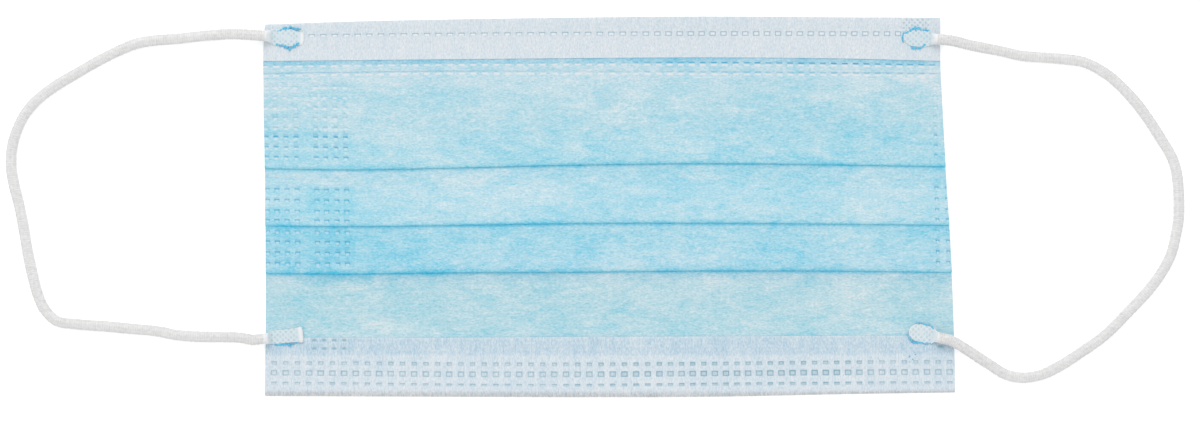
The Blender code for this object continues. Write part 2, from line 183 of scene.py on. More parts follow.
RIGHT_ROUTE = (
    (0.0039, 0.0410, 0.88), (0.0117, 0.0395, 0.45), (0.0168, 0.0384, 0.18), (0.0235, 0.0379, 0.02),
    (0.0291, 0.0374, 0.0), (0.0324, 0.0369, 0.0), (0.0359, 0.0354, 0.0), (0.0395, 0.0331, 0.0),
    (0.0424, 0.0305, 0.0), (0.0460, 0.0266, 0.0), (0.0493, 0.0222, 0.0), (0.0525, 0.0172, 0.0),
    (0.0555, 0.0120, 0.0), (0.0564, 0.0091, 0.0), (0.0569, 0.0052, 0.0), (0.0571, 0.0006, 0.0),
    (0.0570, -0.0035, 0.0), (0.0564, -0.0071, 0.0), (0.0550, -0.0125, 0.0), (0.0526, -0.0171, 0.0),
    (0.0487, -0.0222, 0.0), (0.0440, -0.0272, 0.0), (0.0383, -0.0329, 0.0), (0.0319, -0.0375, 0.0),
    (0.0262, -0.0411, 0.0), (0.0219, -0.0431, 0.0), (0.0182, -0.0438, 0.0), (0.0150, -0.0436, 0.02),
    (0.0120, -0.0426, 0.10), (0.0097, -0.0411, 0.27), (0.0064, -0.0390, 0.56), (0.0032, -0.0369, 0.86),
)


def smooth_through(stations, values, at):
    """Cubic Hermite curve through rows of values, its slopes taken from each row's neighbours."""
    stations = np.asarray(stations, dtype=float)
    values = np.asarray(values, dtype=float)
    slopes = np.gradient(values, stations, axis=0)
    index = np.clip(np.searchsorted(stations, at, side="right") - 1, 0, len(stations) - 2)
    width = stations[index + 1] - stations[index]
    share = (at - stations[index]) / width
    if values.ndim > 1:
        width = width[:, None]
        share = share[:, None]
    rest = 1.0 - share
    start = values[index] * (1.0 + 2.0 * share) * rest ** 2 + slopes[index] * width * share * rest ** 2
    end = (values[index + 1] * (3.0 - 2.0 * share) * share ** 2
           - slopes[index + 1] * width * rest * share ** 2)
    return start + end


def ease(share):
    """Smooth step: 0 below 0, 1 above 1, and 3 s^2 - 2 s^3 between."""
    share = np.clip(share, 0.0, 1.0)
    return share ** 2 * (3.0 - 2.0 * share)


def colour(red, green, blue):
    """Linear colour of an sRGB colour given from 0 to 255."""
    parts = np.array((red, green, blue)) / 255.0
    linear = np.where(parts <= 0.04045, parts / 12.92, ((parts + 0.055) / 1.055) ** 2.4)
    return (float(linear[0]), float(linear[1]), float(linear[2]), 1.0)


def run_from(steps):
    """Distance run at each point of a path: 0, then the running sum of its steps."""
    return np.concatenate(((0.0,), np.cumsum(steps)))


def paired(first, second):
    """Pairs of two arrays, each spread along the other's directions."""
    return np.stack(np.broadcast_arrays(first, second), axis=-1)


def cloth_uv(across, down):
    """UV of a sheet: share across, and distance down in steps of UV_DOWN."""
    return paired(across[None, :], down[:, None] / UV_DOWN)


def place_on_mask(across, down):
    """x and y for every pairing of places down and across: one row for each place down.

    x runs in proportion from the left edge to the right edge. y is read between the measured lines.
    """
    share = np.clip(down / MASK_HEIGHT, 0.0, 1.0)
    left = -MASK_WIDTH / 2 + smooth_through(SIDE_TABLE[:, 0], SIDE_TABLE[:, 1], share) * MASK_WIDTH
    right = MASK_WIDTH / 2 - smooth_through(SIDE_TABLE[:, 0], SIDE_TABLE[:, 2], share) * MASK_WIDTH
    x = left[:, None] + (right - left)[:, None] * across[None, :]
    heights = smooth_through(LINE_ACROSS, LINE_HEIGHTS[:, 1:].T, across).T
    lines = LINE_HEIGHTS[:, 0]
    index = np.clip(np.searchsorted(lines, down / MM, side="right") - 1, 0, len(lines) - 2)
    part = (down / MM - lines[index]) / (lines[index + 1] - lines[index])
    y = heights[index] * (1.0 - part)[:, None] + heights[index + 1] * part[:, None]
    return x, y * MM


def pitch(across):
    """Distance between layers: least at the welded sides, most in the middle."""
    return SIDE_PITCH + (MIDDLE_PITCH - SIDE_PITCH) * np.sin(np.pi * np.clip(across, 0.0, 1.0)) ** 0.7


def gentle_waves(across, down):
    """Slow waves of the whole cloth, up to 0.2 mm, fading to nothing at the four edges."""
    u = across[None, :]
    v = down[:, None] / MASK_HEIGHT
    fade = ease(u * 12.0) * ease((1.0 - u) * 12.0) * ease(v * 6.0) * ease((1.0 - v) * 6.0)
    wave = (np.sin(7.1 * u + 3.3 * v) + 0.7 * np.sin(15.7 * u - 6.1 * v + 1.3)
            + 0.5 * np.sin(27.0 * u + 9.0 * v + 0.4))
    return 0.09 * MM * wave * fade


def small_creases(across, down):
    """Patch of small creases on the second panel, right of the middle: two sines in a soft window."""
    u = across[None, :]
    v = down[:, None] / MASK_HEIGHT
    window = np.exp(-((u - 0.866) / 0.022) ** 2 - ((v - 0.490) / 0.050) ** 2)
    ripple = np.sin(480.0 * u + 1.5 * np.sin(95.0 * v)) + 0.6 * np.sin(190.0 * u + 210.0 * v)
    return 0.045 * MM * ripple * window


def layer_spans():
    """Highest and lowest place of each layer of cloth, in the order in which the cloth runs down."""
    spans = []
    start = TOP_HEM
    for line in (FIRST_LINE, SECOND_LINE, THIRD_LINE):
        spans.append((start, line))
        spans.append((line - PLEAT_DEPTH, line))
        start = line - PLEAT_DEPTH
    spans.append((start, BOTTOM_HEM))
    return spans


def layers_under(layer, down):
    """Number of layers under a layer at each place down, easing in over one run."""
    count = np.zeros(np.shape(down))
    for start, _ in layer_spans()[layer + 1:]:
        count = count + ease((down - start + LOUVRE_RUN) / LOUVRE_RUN)
    return count


def folded_profile(rows, fold_points):
    """Place down, layers under, and front normal along the folded cloth's middle line.

    Each fold is a half circle from one layer to the next. rows are the places down that get
    a row of points wherever they show; hidden layers get one each HIDDEN_ROW_STEP.
    """
    bulge = (MIDDLE_PITCH + PLY_WALL) / 2 + OUTER_PLY
    spans = layer_spans()
    last = len(spans) - 1
    downs = []
    counts = []
    for layer, (highest, lowest) in enumerate(spans):
        start = highest + (bulge if layer > 0 else 0.0)
        end = lowest - (bulge if layer < last else 0.0)
        shows_from = spans[layer - 1][1] - MM if layer > 0 else start
        hidden = np.arange(start + HIDDEN_ROW_STEP, end - MM, HIDDEN_ROW_STEP)
        if layer % 2 == 0:
            hidden = hidden[hidden < shows_from - MM]
            shown = rows[(rows > max(start, shows_from) + 0.0002) & (rows < end - 0.0002)]
            run = np.concatenate(((start,), hidden, shown, (end,)))
        else:
            run = np.concatenate(((start,), hidden, (end,)))[::-1]
        downs.append(run)
        counts.append(layers_under(layer, run))
        if layer < last:
            facing = 1.0 if layer % 2 == 0 else -1.0
            upper = layers_under(layer, run[-1:])[0]
            lower = layers_under(layer + 1, run[-1:])[0]
            turn = np.linspace(0.0, math.pi, fold_points + 2)[1:-1]
            downs.append(run[-1] + facing * np.sin(turn) * abs(upper - lower) * MIDDLE_PITCH / 2)
            counts.append((upper + lower) / 2 + np.cos(turn) * (upper - lower) / 2)
    down = np.concatenate(downs)
    count = np.concatenate(counts)
    along_down = np.gradient(down)
    along_up = np.gradient(count * MIDDLE_PITCH)
    length = np.hypot(along_down, along_up)
    return down, count, -along_up / length, along_down / length


def near(at, centres, half, edge):
    """1 within half of the nearest centre, easing to 0 over one edge."""
    gap = np.abs(at[:, None] - np.asarray(centres)[None, :]).min(axis=1)
    return ease((half + edge - gap) / edge)


def stations_around(centres, offsets, unit):
    """Every centre with every offset added, in one flat array. Offsets are given in a unit."""
    return (np.asarray(centres)[:, None] + unit * np.asarray(offsets)[None, :]).ravel()


def merged(stations, closest, low, high):
    """Sorted stations between two limits, with those dropped that follow another too closely."""
    stations = np.sort(stations[(stations > low + closest) & (stations < high - closest)])
    kept = [low]
    for station in stations:
        if station - kept[-1] >= closest:
            kept.append(station)
    kept.append(high)
    return np.array(kept)


def new_object(name, data):
    """Object of some data, in the scene."""
    item = bpy.data.objects.new(name, data)
    bpy.context.scene.collection.objects.link(item)
    return item


def make_piece(name, points, faces, uv, material, masks=None):
    """Object from points and faces, with one UV pair for each point and optional point masks."""
    mesh = bpy.data.meshes.new(name)
    mesh.from_pydata(points.tolist(), [], faces)
    mesh.shade_smooth()
    mesh.set_sharp_from_angle(angle=math.radians(SHARP_DEGREES))
    corner = np.empty(len(mesh.loops), dtype=np.int32)
    mesh.loops.foreach_get("vertex_index", corner)
    layer = mesh.uv_layers.new(name="cloth")
    layer.data.foreach_set("uv", uv[corner].astype(np.float32).ravel())
    for mask_name, values in (masks or {}).items():
        mask = mesh.attributes.new(mask_name, "FLOAT", "POINT")
        mask.data.foreach_set("value", np.asarray(values, dtype=np.float32).ravel())
    mesh.materials.append(material)
    piece = new_object(name, mesh)
    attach(piece, "root")
    return piece


def closed_cloth(name, front, back, coarse, uv_front, material, marks):
    """Thin closed body between a fine front grid and a back grid that keeps only some columns.

    front is rows by columns by 3. coarse lists the columns that back has. The long hems are closed
    by one polygon for each coarse column, the short sides by one quad for each row. marks holds the
    front's point masks by name.
    """
    rows, columns = front.shape[:2]
    wide = len(coarse)
    f = np.arange(rows * columns).reshape(rows, columns)
    b = rows * columns + np.arange(rows * wide).reshape(rows, wide)
    faces = []
    for corners in ((f[:-1, :-1], f[1:, :-1], f[1:, 1:], f[:-1, 1:]),
                    (b[:-1, :-1], b[:-1, 1:], b[1:, 1:], b[1:, :-1]),
                    (f[:-1, 0], b[:-1, 0], b[1:, 0], f[1:, 0]),
                    (f[:-1, -1], f[1:, -1], b[1:, -1], b[:-1, -1])):
        faces += np.stack(corners, axis=-1).reshape(-1, 4).tolist()
    for index, (start, end) in enumerate(zip(coarse[:-1], coarse[1:])):
        faces.append(f[0, start:end + 1].tolist() + [int(b[0, index + 1]), int(b[0, index])])
        faces.append([int(b[-1, index]), int(b[-1, index + 1])] + f[-1, start:end + 1][::-1].tolist())
    points = np.concatenate((front.reshape(-1, 3), back.reshape(-1, 3)))
    uv = np.concatenate((uv_front.reshape(-1, 2), uv_front[:, coarse].reshape(-1, 2)))
    flat = np.zeros(rows * wide)
    masks = {mark: np.concatenate((values.ravel(), flat)) for mark, values in marks.items()}
    return make_piece(name, points, faces, uv, material, masks)


def folded_ply(name, across, coarse, rows, fold_points, offset, relief_of, material):
    """One ply of the pleated cloth as a closed body, offset from the folded middle line.

    Point = place on the mask at (across, down + offset * normal), height = lowest ply + pitch * layers
    under + offset * normal + waves. relief_of gives the pressed depth and the two masks of the front.
    Returns the piece and the length of the folded line.
    """
    down, count, normal_down, normal_up = folded_profile(rows, fold_points)

    def surface(shift, columns, depth):
        x, y = place_on_mask(columns, down + shift * normal_down)
        z = (LOWEST_PLY_HEIGHT + pitch(columns)[None, :] * count[:, None]
             + (shift * normal_up)[:, None] + depth * np.sign(normal_up)[:, None]
             + gentle_waves(columns, down))
        return np.stack((x, y, z), axis=-1)

    faces_front = (normal_up > 0.5).astype(float)[:, None]
    depth, press, tint = (part * faces_front for part in relief_of(across, down))
    front = surface(offset + PLY_WALL / 2, across, depth)
    back = surface(offset - PLY_WALL / 2, across[coarse], 0.0)
    piece = closed_cloth(name, front, back, coarse, cloth_uv(across, down), material,
                         {"press": press, "tint": tint})
    return piece, float(np.hypot(np.diff(down), np.diff(count) * MIDDLE_PITCH).sum())


def across_marks(across, centres, half, edge):
    """Mask across of marks at shares of the width; half and edge are in millimetres."""
    return near(across, centres, half * MM_ACROSS, edge * MM_ACROSS)


def bar(down, rows, half, edge, columns):
    """Mask of rows of marks: a box round each place down, in millimetres, times a mask across."""
    return np.outer(near(down, np.atleast_1d(rows) * MM, half * MM, edge * MM), columns)


def cloth_relief(across, down):
    """Pressed depth and masks of the seam dashes and side dimples on the blue cloth.

    Each mark is the product of a box across and a box down, with eased edges. The press mask is above
    0 along a mark's dark upper edge and outline, and below 0 along its light lower edge: the dark upper
    edge is painted shade and the light lower edge a painted highlight, as from a lamp beyond the top
    edge. The tint mask is above 0 in the blocks of dimples, where the pressed layers look bluer.
    """
    depth = np.zeros((len(down), len(across)))
    press = np.zeros_like(depth)
    tint = np.zeros_like(depth)
    uneven = np.interp(across, np.linspace(0.0, 1.0, 140), np.random.default_rng(3).uniform(0.7, 1.1, 140))
    dash = across_marks(across, SEAM_DASHES, 0.66, 0.22) * uneven
    clear = 0.15 + 0.85 * ease((across - 0.45) / 0.25)
    # Each dash gets a dark bar above it, painted shade that grows stronger to the right, and a light bar
    # below it, a painted highlight
    for row, shade in ((12.45, 1.0), (14.85, 0.40)):
        depth = np.minimum(depth, -0.07 * MM * bar(down, row, 0.28, 0.16, dash))
        dark = bar(down, row - 0.46, 0.10, 0.14, dash * clear)
        press = press + shade * dark - bar(down, row + 0.06, 0.16, 0.16, dash)
    line_share = 0.50 - 0.30 * ease((across - 0.25) / 0.2) + 0.15 * ease((across - 0.85) / 0.05)
    fold_line = bar(down, 14.25, 0.06, 0.16, line_share * uneven)
    depth = depth - 0.08 * MM * fold_line
    press = press + fold_line
    for row, shade, glint, half, outline in DIMPLE_TABLE:
        right = 0.9890 - 0.00023 * (row - 25.0) + np.array((0.0, 0.0152))
        for columns, share in ((LEFT_DIMPLES, 1.0), (right, 0.8)):
            wide = half * share
            box = across_marks(across, columns, wide - 0.12, 0.24) * uneven
            inside = across_marks(across, columns, wide - 0.36, 0.20) * uneven
            depth = np.minimum(depth, -0.07 * MM * bar(down, row, 0.36, 0.18, box))
            # Each dimple gets a dark bar above it, painted shade, and a light bar below it, a painted
            # highlight; the ring is its outline
            dark = bar(down, row - 0.34, 0.10, 0.18, box)
            ring = bar(down, row, 0.36, 0.18, box - inside)
            light = bar(down, row + 0.18, 0.16, 0.18, inside)
            press = press + shade * dark + 0.45 * outline * ring - glint * light
    for start, end, share in ((0.066, 0.127, 1.0), (0.000, 0.052, 0.55)):
        beside = ease((across - start) / 0.012 + 1.0) * ease((end - across) / 0.012 + 1.0)
        for top, bottom, amount in ((28.5, 37.0, 0.24), (42.2, 52.6, 0.48), (53.4, 64.5, 0.40)):
            above = ease((down / MM - top) / 1.0) * ease((bottom - down / MM) / 3.5)
            tint = tint + share * amount * np.outer(above, beside)
    return depth + small_creases(across, down), press, tint


def no_relief(across, down):
    """Plain cloth: no depth and two empty masks."""
    return (np.zeros((len(down), len(across))),) * 3


def stamped_squares(across, down, columns, row, half_wide, half_high, depth, edges, fill):
    """Depth and mask of stamped squares: a narrow groove round a centre that stays nearly level.

    Sizes are in millimetres. edges are how dark the upper, side and lower lines are; fill is how dark
    the centre is.
    """
    outer = bar(down, row, half_high, 0.14, across_marks(across, columns, half_wide, 0.14))
    inner = bar(down, row, max(half_high - 0.26, 0.02), 0.14,
                across_marks(across, columns, half_wide - 0.28, 0.14))
    upper, side, lower = edges
    above = ease((row - down / MM) / half_high)[:, None]
    below = ease((down / MM - row) / half_high)[:, None]
    line = side + (upper - side) * above + (lower - side) * below
    return -depth * MM * (outer - 0.85 * inner), (outer - inner) * line + inner * fill


def band(name, profile, across, coarse, relief_of, material):
    """White band folded over a long edge, as a closed body along a profile of place down and height.

    The profile runs from the free edge on the front, round the hem and in under the mask. Returns the
    piece and the profile's length.
    """
    down, height = profile.T
    along_down = np.gradient(down)
    along_up = np.gradient(height)
    length = np.hypot(along_down, along_up)
    facing = 1.0 if down[len(down) // 4] < down[0] else -1.0
    normal_down = facing * along_up / length
    normal_up = -facing * along_down / length
    depth, press = relief_of(across, down)
    on_top = (normal_up > 0.3).astype(float)[:, None]

    def surface(shift, columns, pressed):
        x, y = place_on_mask(columns, down + shift * normal_down)
        z = height[:, None] + (shift * normal_up)[:, None] + pressed + gentle_waves(columns, down) * on_top
        return np.stack((x, y, z), axis=-1)

    sheets = [surface(PLY_WALL / 2, across, depth * on_top), surface(-PLY_WALL / 2, across[coarse], 0.0),
              cloth_uv(across, down), press * on_top]
    if facing > 0:
        sheets = [sheet[::-1] for sheet in sheets]
    front, back, uv, press = sheets
    piece = closed_cloth(name, front, back, coarse, uv, material, {"press": press})
    return piece, float(np.hypot(np.diff(down), np.diff(height)).sum())


def fine_profile(stations, rows):
    """Smooth curve through a band's stations, with points at the given places down on its front."""
    stations = np.array(stations) * MM
    run = run_from(np.hypot(*np.diff(stations, axis=0).T))
    even = np.arange(0.0, run[-1], 0.45 * MM)
    fine = np.linspace(0.0, run[-1], 3000)
    curve = smooth_through(run, stations, fine)
    outermost = np.argmin(curve[:, 0]) if stations[1, 0] < stations[0, 0] else np.argmax(curve[:, 0])
    front_run = fine[:outermost]
    front_down = curve[:outermost, 0]
    order = np.argsort(front_down)
    at_rows = np.interp(rows, front_down[order], front_run[order])
    at_rows = at_rows[(rows > front_down.min()) & (rows < front_down.max())]
    at = merged(np.concatenate((even, at_rows)), 0.10 * MM, 0.0, run[-1])
    return smooth_through(run, stations, at)


# Node groups and materials


def new_group(name, inputs, outputs):
    """Empty shader node group with named inputs and outputs."""
    group = bpy.data.node_groups.new(name, "ShaderNodeTree")
    for label, kind, value in inputs:
        socket = group.interface.new_socket(label, in_out="INPUT", socket_type=kind)
        if value is not None:
            socket.default_value = value
    for label, kind in outputs:
        group.interface.new_socket(label, in_out="OUTPUT", socket_type=kind)
    start = group.nodes.new("NodeGroupInput")
    end = group.nodes.new("NodeGroupOutput")
    return group, start, end


def put(tree, socket, value):
    """Gives an input socket a number, a colour or another node's output."""
    if isinstance(value, (int, float, tuple)):
        socket.default_value = value
    else:
        tree.links.new(value, socket)


def math_node(tree, *values, operation, clamp=False):
    """Math node whose inputs are sockets or numbers."""
    node = tree.nodes.new("ShaderNodeMath")
    node.operation = operation
    node.use_clamp = clamp
    for socket, value in zip(node.inputs, values):
        put(tree, socket, value)
    return node.outputs[0]


plus = functools.partial(math_node, operation="ADD")
minus = functools.partial(math_node, operation="SUBTRACT")
times = functools.partial(math_node, operation="MULTIPLY")
cosine = functools.partial(math_node, operation="COSINE")


def mix_colour(tree, mode, factor, first, second):
    """Colour mix node whose inputs are sockets, numbers or colours."""
    node = tree.nodes.new("ShaderNodeMix")
    node.data_type = "RGBA"
    node.blend_type = mode
    node.clamp_factor = True
    for index, value in ((0, factor), (6, first), (7, second)):
        put(tree, node.inputs[index], value)
    return node.outputs[2]


def scaled_vector(tree, vector, scale):
    """Vector multiplied by a fixed scale on each axis."""
    node = tree.nodes.new("ShaderNodeVectorMath")
    node.operation = "MULTIPLY"
    tree.links.new(vector, node.inputs[0])
    node.inputs[1].default_value = scale
    return node.outputs[0]


def split_vector(tree, vector):
    """The three parts of a vector, by the names X, Y and Z."""
    node = tree.nodes.new("ShaderNodeSeparateXYZ")
    tree.links.new(vector, node.inputs[0])
    return node.outputs


def noise(tree, vector, scale, detail, rough, twist=0.0):
    """Noise value of a vector, its pattern swirled by twist."""
    node = tree.nodes.new("ShaderNodeTexNoise")
    for label, value in zip(("Scale", "Detail", "Roughness", "Distortion"), (scale, detail, rough, twist)):
        node.inputs[label].default_value = value
    tree.links.new(vector, node.inputs["Vector"])
    return node.outputs["Fac"]


def own_place(tree):
    """Object coordinates, which are the model's own."""
    return tree.nodes.new("ShaderNodeTexCoord").outputs["Object"]


def own_uv(tree):
    """The piece's UV map."""
    node = tree.nodes.new("ShaderNodeUVMap")
    node.uv_map = "cloth"
    return node.outputs[0]


def point_mask(tree, name):
    """Value of one of the mesh's point masks."""
    node = tree.nodes.new("ShaderNodeAttribute")
    node.attribute_name = name
    return node.outputs["Fac"]


def placed_group(tree, group, place, **values):
    """Outputs of a node group that is fed with a place and its own values."""
    node = tree.nodes.new("ShaderNodeGroup")
    node.node_tree = group
    tree.links.new(place, node.inputs["Place"])
    for label, value in values.items():
        node.inputs[label].default_value = value
    return node.outputs


def fibre_web_group():
    """Bonded fibres: streaks across, clouds of thicker web, small bond points, and a fine grain."""
    group, start, end = new_group(
        "fibre_web",
        (("Place", "NodeSocketVector", None), ("Streaks", "NodeSocketFloat", 1.0),
         ("Clouds", "NodeSocketFloat", 1.0), ("Points", "NodeSocketFloat", 1.0)),
        (("Tone", "NodeSocketFloat"), ("Grain", "NodeSocketFloat"), ("Height", "NodeSocketFloat")))
    place = start.outputs["Place"]
    # Streaks, thin fibres, clouds and broad clouds: scale on each axis, detail, roughness, twist
    waves = []
    for scale, detail, rough, twist in (
            ((260.0, 950.0, 400.0), 4.0, 0.62, 0.9), ((1300.0, 2900.0, 900.0), 2.0, 0.6, 0.4),
            ((90.0, 200.0, 120.0), 3.0, 0.6, 0.8), ((24.0, 52.0, 40.0), 2.0, 0.5, 0.5)):
        wave = noise(group, scaled_vector(group, place, scale), 1.0, detail, rough, twist)
        waves.append(minus(group, wave, 0.5))
    streak, thin, cloud, broad = waves
    points = group.nodes.new("ShaderNodeTexVoronoi")
    points.feature = "F1"
    points.inputs["Scale"].default_value = 1.0
    points.inputs["Randomness"].default_value = 0.55
    group.links.new(scaled_vector(group, place, (1150.0, 1150.0, 300.0)), points.inputs["Vector"])
    both = times(group, plus(group, streak, thin), start.outputs["Streaks"])
    cloud = plus(group, cloud, times(group, broad, 0.7))
    cloud = times(group, cloud, start.outputs["Clouds"])
    dots = minus(group, points.outputs["Distance"], 0.45)
    dots = times(group, dots, start.outputs["Points"])
    total = plus(group, plus(group, both, cloud), dots)
    group.links.new(total, end.inputs["Tone"])
    group.links.new(plus(group, thin, 0.5), end.inputs["Grain"])
    group.links.new(plus(group, both, dots), end.inputs["Height"])
    return group


def knit_group():
    """Knitted cord: loops in rows round the cord, from its own along and around coordinates."""
    group, start, end = new_group(
        "knit_rows",
        (("Place", "NodeSocketVector", None), ("Rows", "NodeSocketFloat", 1.0),
         ("Wales", "NodeSocketFloat", 7.0)),
        (("Tone", "NodeSocketFloat"), ("Height", "NodeSocketFloat")))
    parts = split_vector(group, start.outputs["Place"])
    around = times(group, parts["Y"], start.outputs["Wales"])
    wale = cosine(group, times(group, around, FULL_TURN))
    row_turn = times(group, parts["X"], start.outputs["Rows"])
    lean = plus(group, row_turn, times(group, wale, 0.12))
    row = cosine(group, times(group, lean, FULL_TURN))
    both = plus(group, times(group, row, 0.6), times(group, wale, 0.4))
    # Tone equals the height, so the gaps between rows are painted darker, as shade
    group.links.new(both, end.inputs["Tone"])
    group.links.new(both, end.inputs["Height"])
    return group


def base_material(name, rough, sheen):
    """Material with a plain fabric shader; its colours are linked afterwards."""
    material = bpy.data.materials.new(name)
    material.use_nodes = True
    shader = material.node_tree.nodes["Principled BSDF"]
    for label, value in (("Roughness", rough), ("Metallic", 0.0), ("Specular IOR Level", 0.25),
                         ("Sheen Weight", sheen), ("Sheen Roughness", 0.6)):
        shader.inputs[label].default_value = value
    return material, material.node_tree, shader


def ramp(tree, value, stops):
    """Colour ramp through stops of position and colour."""
    node = tree.nodes.new("ShaderNodeValToRGB")
    elements = node.color_ramp.elements
    while len(elements) > 1:
        elements.remove(elements[-1])
    elements[0].position = stops[0][0]
    elements[0].color = stops[0][1]
    for position, tint in stops[1:]:
        element = elements.new(position)
        element.color = tint
    tree.links.new(value, node.inputs[0])
    return node.outputs[0]


def dress(tree, shader, base, rough, height, strength, distance):
    """Gives the shader its colour and roughness, and a small relief of a height value."""
    tree.links.new(base, shader.inputs["Base Color"])
    tree.links.new(rough, shader.inputs["Roughness"])
    node = tree.nodes.new("ShaderNodeBump")
    node.inputs["Strength"].default_value = strength
    node.inputs["Distance"].default_value = distance
    tree.links.new(height, node.inputs["Height"])
    tree.links.new(node.outputs[0], shader.inputs["Normal"])


def cloth_material(name, web, zones, dark, light, deep, amounts, strength, upright):
    """Bonded cloth whose colour follows its place down the mask, with fibres and pressed marks.

    zones are rows of place down in millimetres and sRGB colour. dark and light are the sRGB colours of
    the pressed marks' edges; on the blue cloth the dark upper edge is painted shade and the light lower
    edge a painted highlight. deep is what thin cloth is multiplied by, and amounts are the web's
    streaks, clouds and points. upright turns the fibres from running across to running up and down.
    """
    material, tree, shader = base_material(name, 0.82, 0.10)
    place = own_place(tree)
    if upright:
        parts = split_vector(tree, place)
        turned = tree.nodes.new("ShaderNodeCombineXYZ")
        for source, target in (("Y", "X"), ("X", "Y"), ("Z", "Z")):
            tree.links.new(parts[source], turned.inputs[target])
        place = turned.outputs[0]
    stops = [(row[0] * MM / UV_DOWN, colour(*row[1:])) for row in zones]
    zone = ramp(tree, split_vector(tree, own_uv(tree))["Y"], stops)
    streaks, clouds, points = amounts
    fibres = placed_group(tree, web, place, Streaks=streaks, Clouds=clouds, Points=points)
    deeper = mix_colour(tree, "MULTIPLY", 1.0, zone, deep + (1.0,))
    paler = mix_colour(tree, "MIX", 0.55, zone, (0.77, 0.80, 0.81, 1.0))
    share = plus(tree, fibres["Tone"], 0.5, clamp=True)
    cloth = mix_colour(tree, "MIX", share, deeper, paler)
    grain = plus(tree, times(tree, fibres["Grain"], 0.30), 0.85)
    cloth = mix_colour(tree, "MULTIPLY", 1.0, cloth, grain)
    cloth = mix_colour(tree, "MULTIPLY", point_mask(tree, "tint"), cloth, (0.50, 0.90, 0.97, 1.0))
    # On the blue cloth press above 0 paints shade at a mark's upper edge, and below 0 paints a highlight
    # at its lower edge
    press = point_mask(tree, "press")
    pressed = times(tree, press, 1.0, clamp=True)
    lightened = times(tree, press, -1.0, clamp=True)
    cloth = mix_colour(tree, "MIX", pressed, cloth, colour(*dark))
    cloth = mix_colour(tree, "MIX", lightened, cloth, colour(*light))
    rough = minus(tree, 0.84, times(tree, pressed, 0.25))
    dress(tree, shader, cloth, rough, fibres["Height"], strength, 0.15 * MM)
    return material


def cord_material(name, knit, web, dark, light, pit=None, relief=0.45):
    """Knitted elastic cord: pale ridges and slightly darker gaps between its rows.

    The darker gaps between the knit rows are painted shade. Colours are sRGB. pit is the colour of the
    pits that a weld presses into it, where it has any.
    """
    material, tree, shader = base_material(name, 0.88, 0.04)
    rows = placed_group(tree, knit, own_uv(tree))
    fibres = placed_group(tree, web, own_place(tree), Streaks=0.6, Clouds=0.1, Points=0.5)
    # The knit rows' part of the tone paints shade into the gaps between rows
    tone = plus(tree, times(tree, rows["Tone"], 0.17), fibres["Tone"])
    share = plus(tree, tone, 0.65, clamp=True)
    yarn = mix_colour(tree, "MIX", share, colour(*dark), colour(*light))
    if pit is not None:
        haze = times(tree, point_mask(tree, "press"), 0.9)
        yarn = mix_colour(tree, "MIX", haze, yarn, colour(*pit))
    rough = plus(tree, times(tree, share, 0.08), 0.82)
    dress(tree, shader, yarn, rough, rows["Height"], relief, 0.05 * MM)
    return material


def melt_material(name, web, dark, light):
    """Melted blue film: smoother than the cloth, with pale torn specks. Colours are sRGB."""
    material, tree, shader = base_material(name, 0.45, 0.0)
    fibres = placed_group(tree, web, own_place(tree))
    share = plus(tree, fibres["Tone"], 0.4, clamp=True)
    film = mix_colour(tree, "MIX", share, colour(*dark), colour(*light))
    rough = plus(tree, times(tree, share, 0.3), 0.35)
    dress(tree, shader, film, rough, fibres["Height"], 0.4, 0.1 * MM)
    return material


# Cords


def loop_points(side, roots, rows, step):
    """Even points on the smooth curve through an ear loop's route, straight at both ends."""
    first, second, second_last, last = (np.array(root + (ROOT_HEIGHT,)) for root in roots)
    rows = np.array(rows)
    between = np.column_stack((side * (MASK_WIDTH / 2 + rows[:, 0]), rows[:, 1],
                               CORD_RADIUS + rows[:, 2] * (ROOT_HEIGHT - CORD_RADIUS)))
    route = np.vstack((first, second, between, second_last, last))
    stations = run_from(np.linalg.norm(np.diff(route, axis=0), axis=1))
    fine = np.linspace(stations[1], stations[-2], 4000)
    curve = np.vstack((first, smooth_through(stations, route, fine), last))
    run = run_from(np.linalg.norm(np.diff(curve, axis=0), axis=1))
    even = np.linspace(0.0, run[-1], round(run[-1] / step) + 1)
    points = np.column_stack([np.interp(even, run, curve[:, axis]) for axis in range(3)])
    points[:, 2] = np.maximum(points[:, 2], CORD_RADIUS)
    return points, even


def tube_faces(rings, sides):
    """Quads of a tube of rings, and one polygon on each end."""
    corner = np.arange(rings * sides).reshape(rings, sides)
    after = np.roll(corner, -1, axis=1)
    quads = np.stack((corner[:-1], after[:-1], after[1:], corner[1:]), axis=-1).reshape(-1, 4)
    return quads.tolist() + [corner[0, ::-1].tolist(), corner[-1].tolist()]


def tube_axes(points):
    """Forward, sideways and upward unit directions along a path that never stands upright."""
    along = np.gradient(points, axis=0)
    along /= np.linalg.norm(along, axis=1)[:, None]
    sideways = np.cross(along, (0.0, 0.0, 1.0))
    sideways /= np.linalg.norm(sideways, axis=1)[:, None]
    return along, sideways, np.cross(sideways, along)


def angles(sides):
    """Angle of each side round a tube, the first one straight down."""
    return (np.arange(sides) / sides - 0.25) * FULL_TURN


def tube_piece(name, rings, u, material, masks=None):
    """Closed tube through rings of points: u runs along it, v runs once around it."""
    count, sides = rings.shape[:2]
    uv = paired(u[:, None], np.arange(sides)[None, :] / sides).reshape(-1, 2)
    return make_piece(name, rings.reshape(-1, 3), tube_faces(count, sides), uv, material, masks)


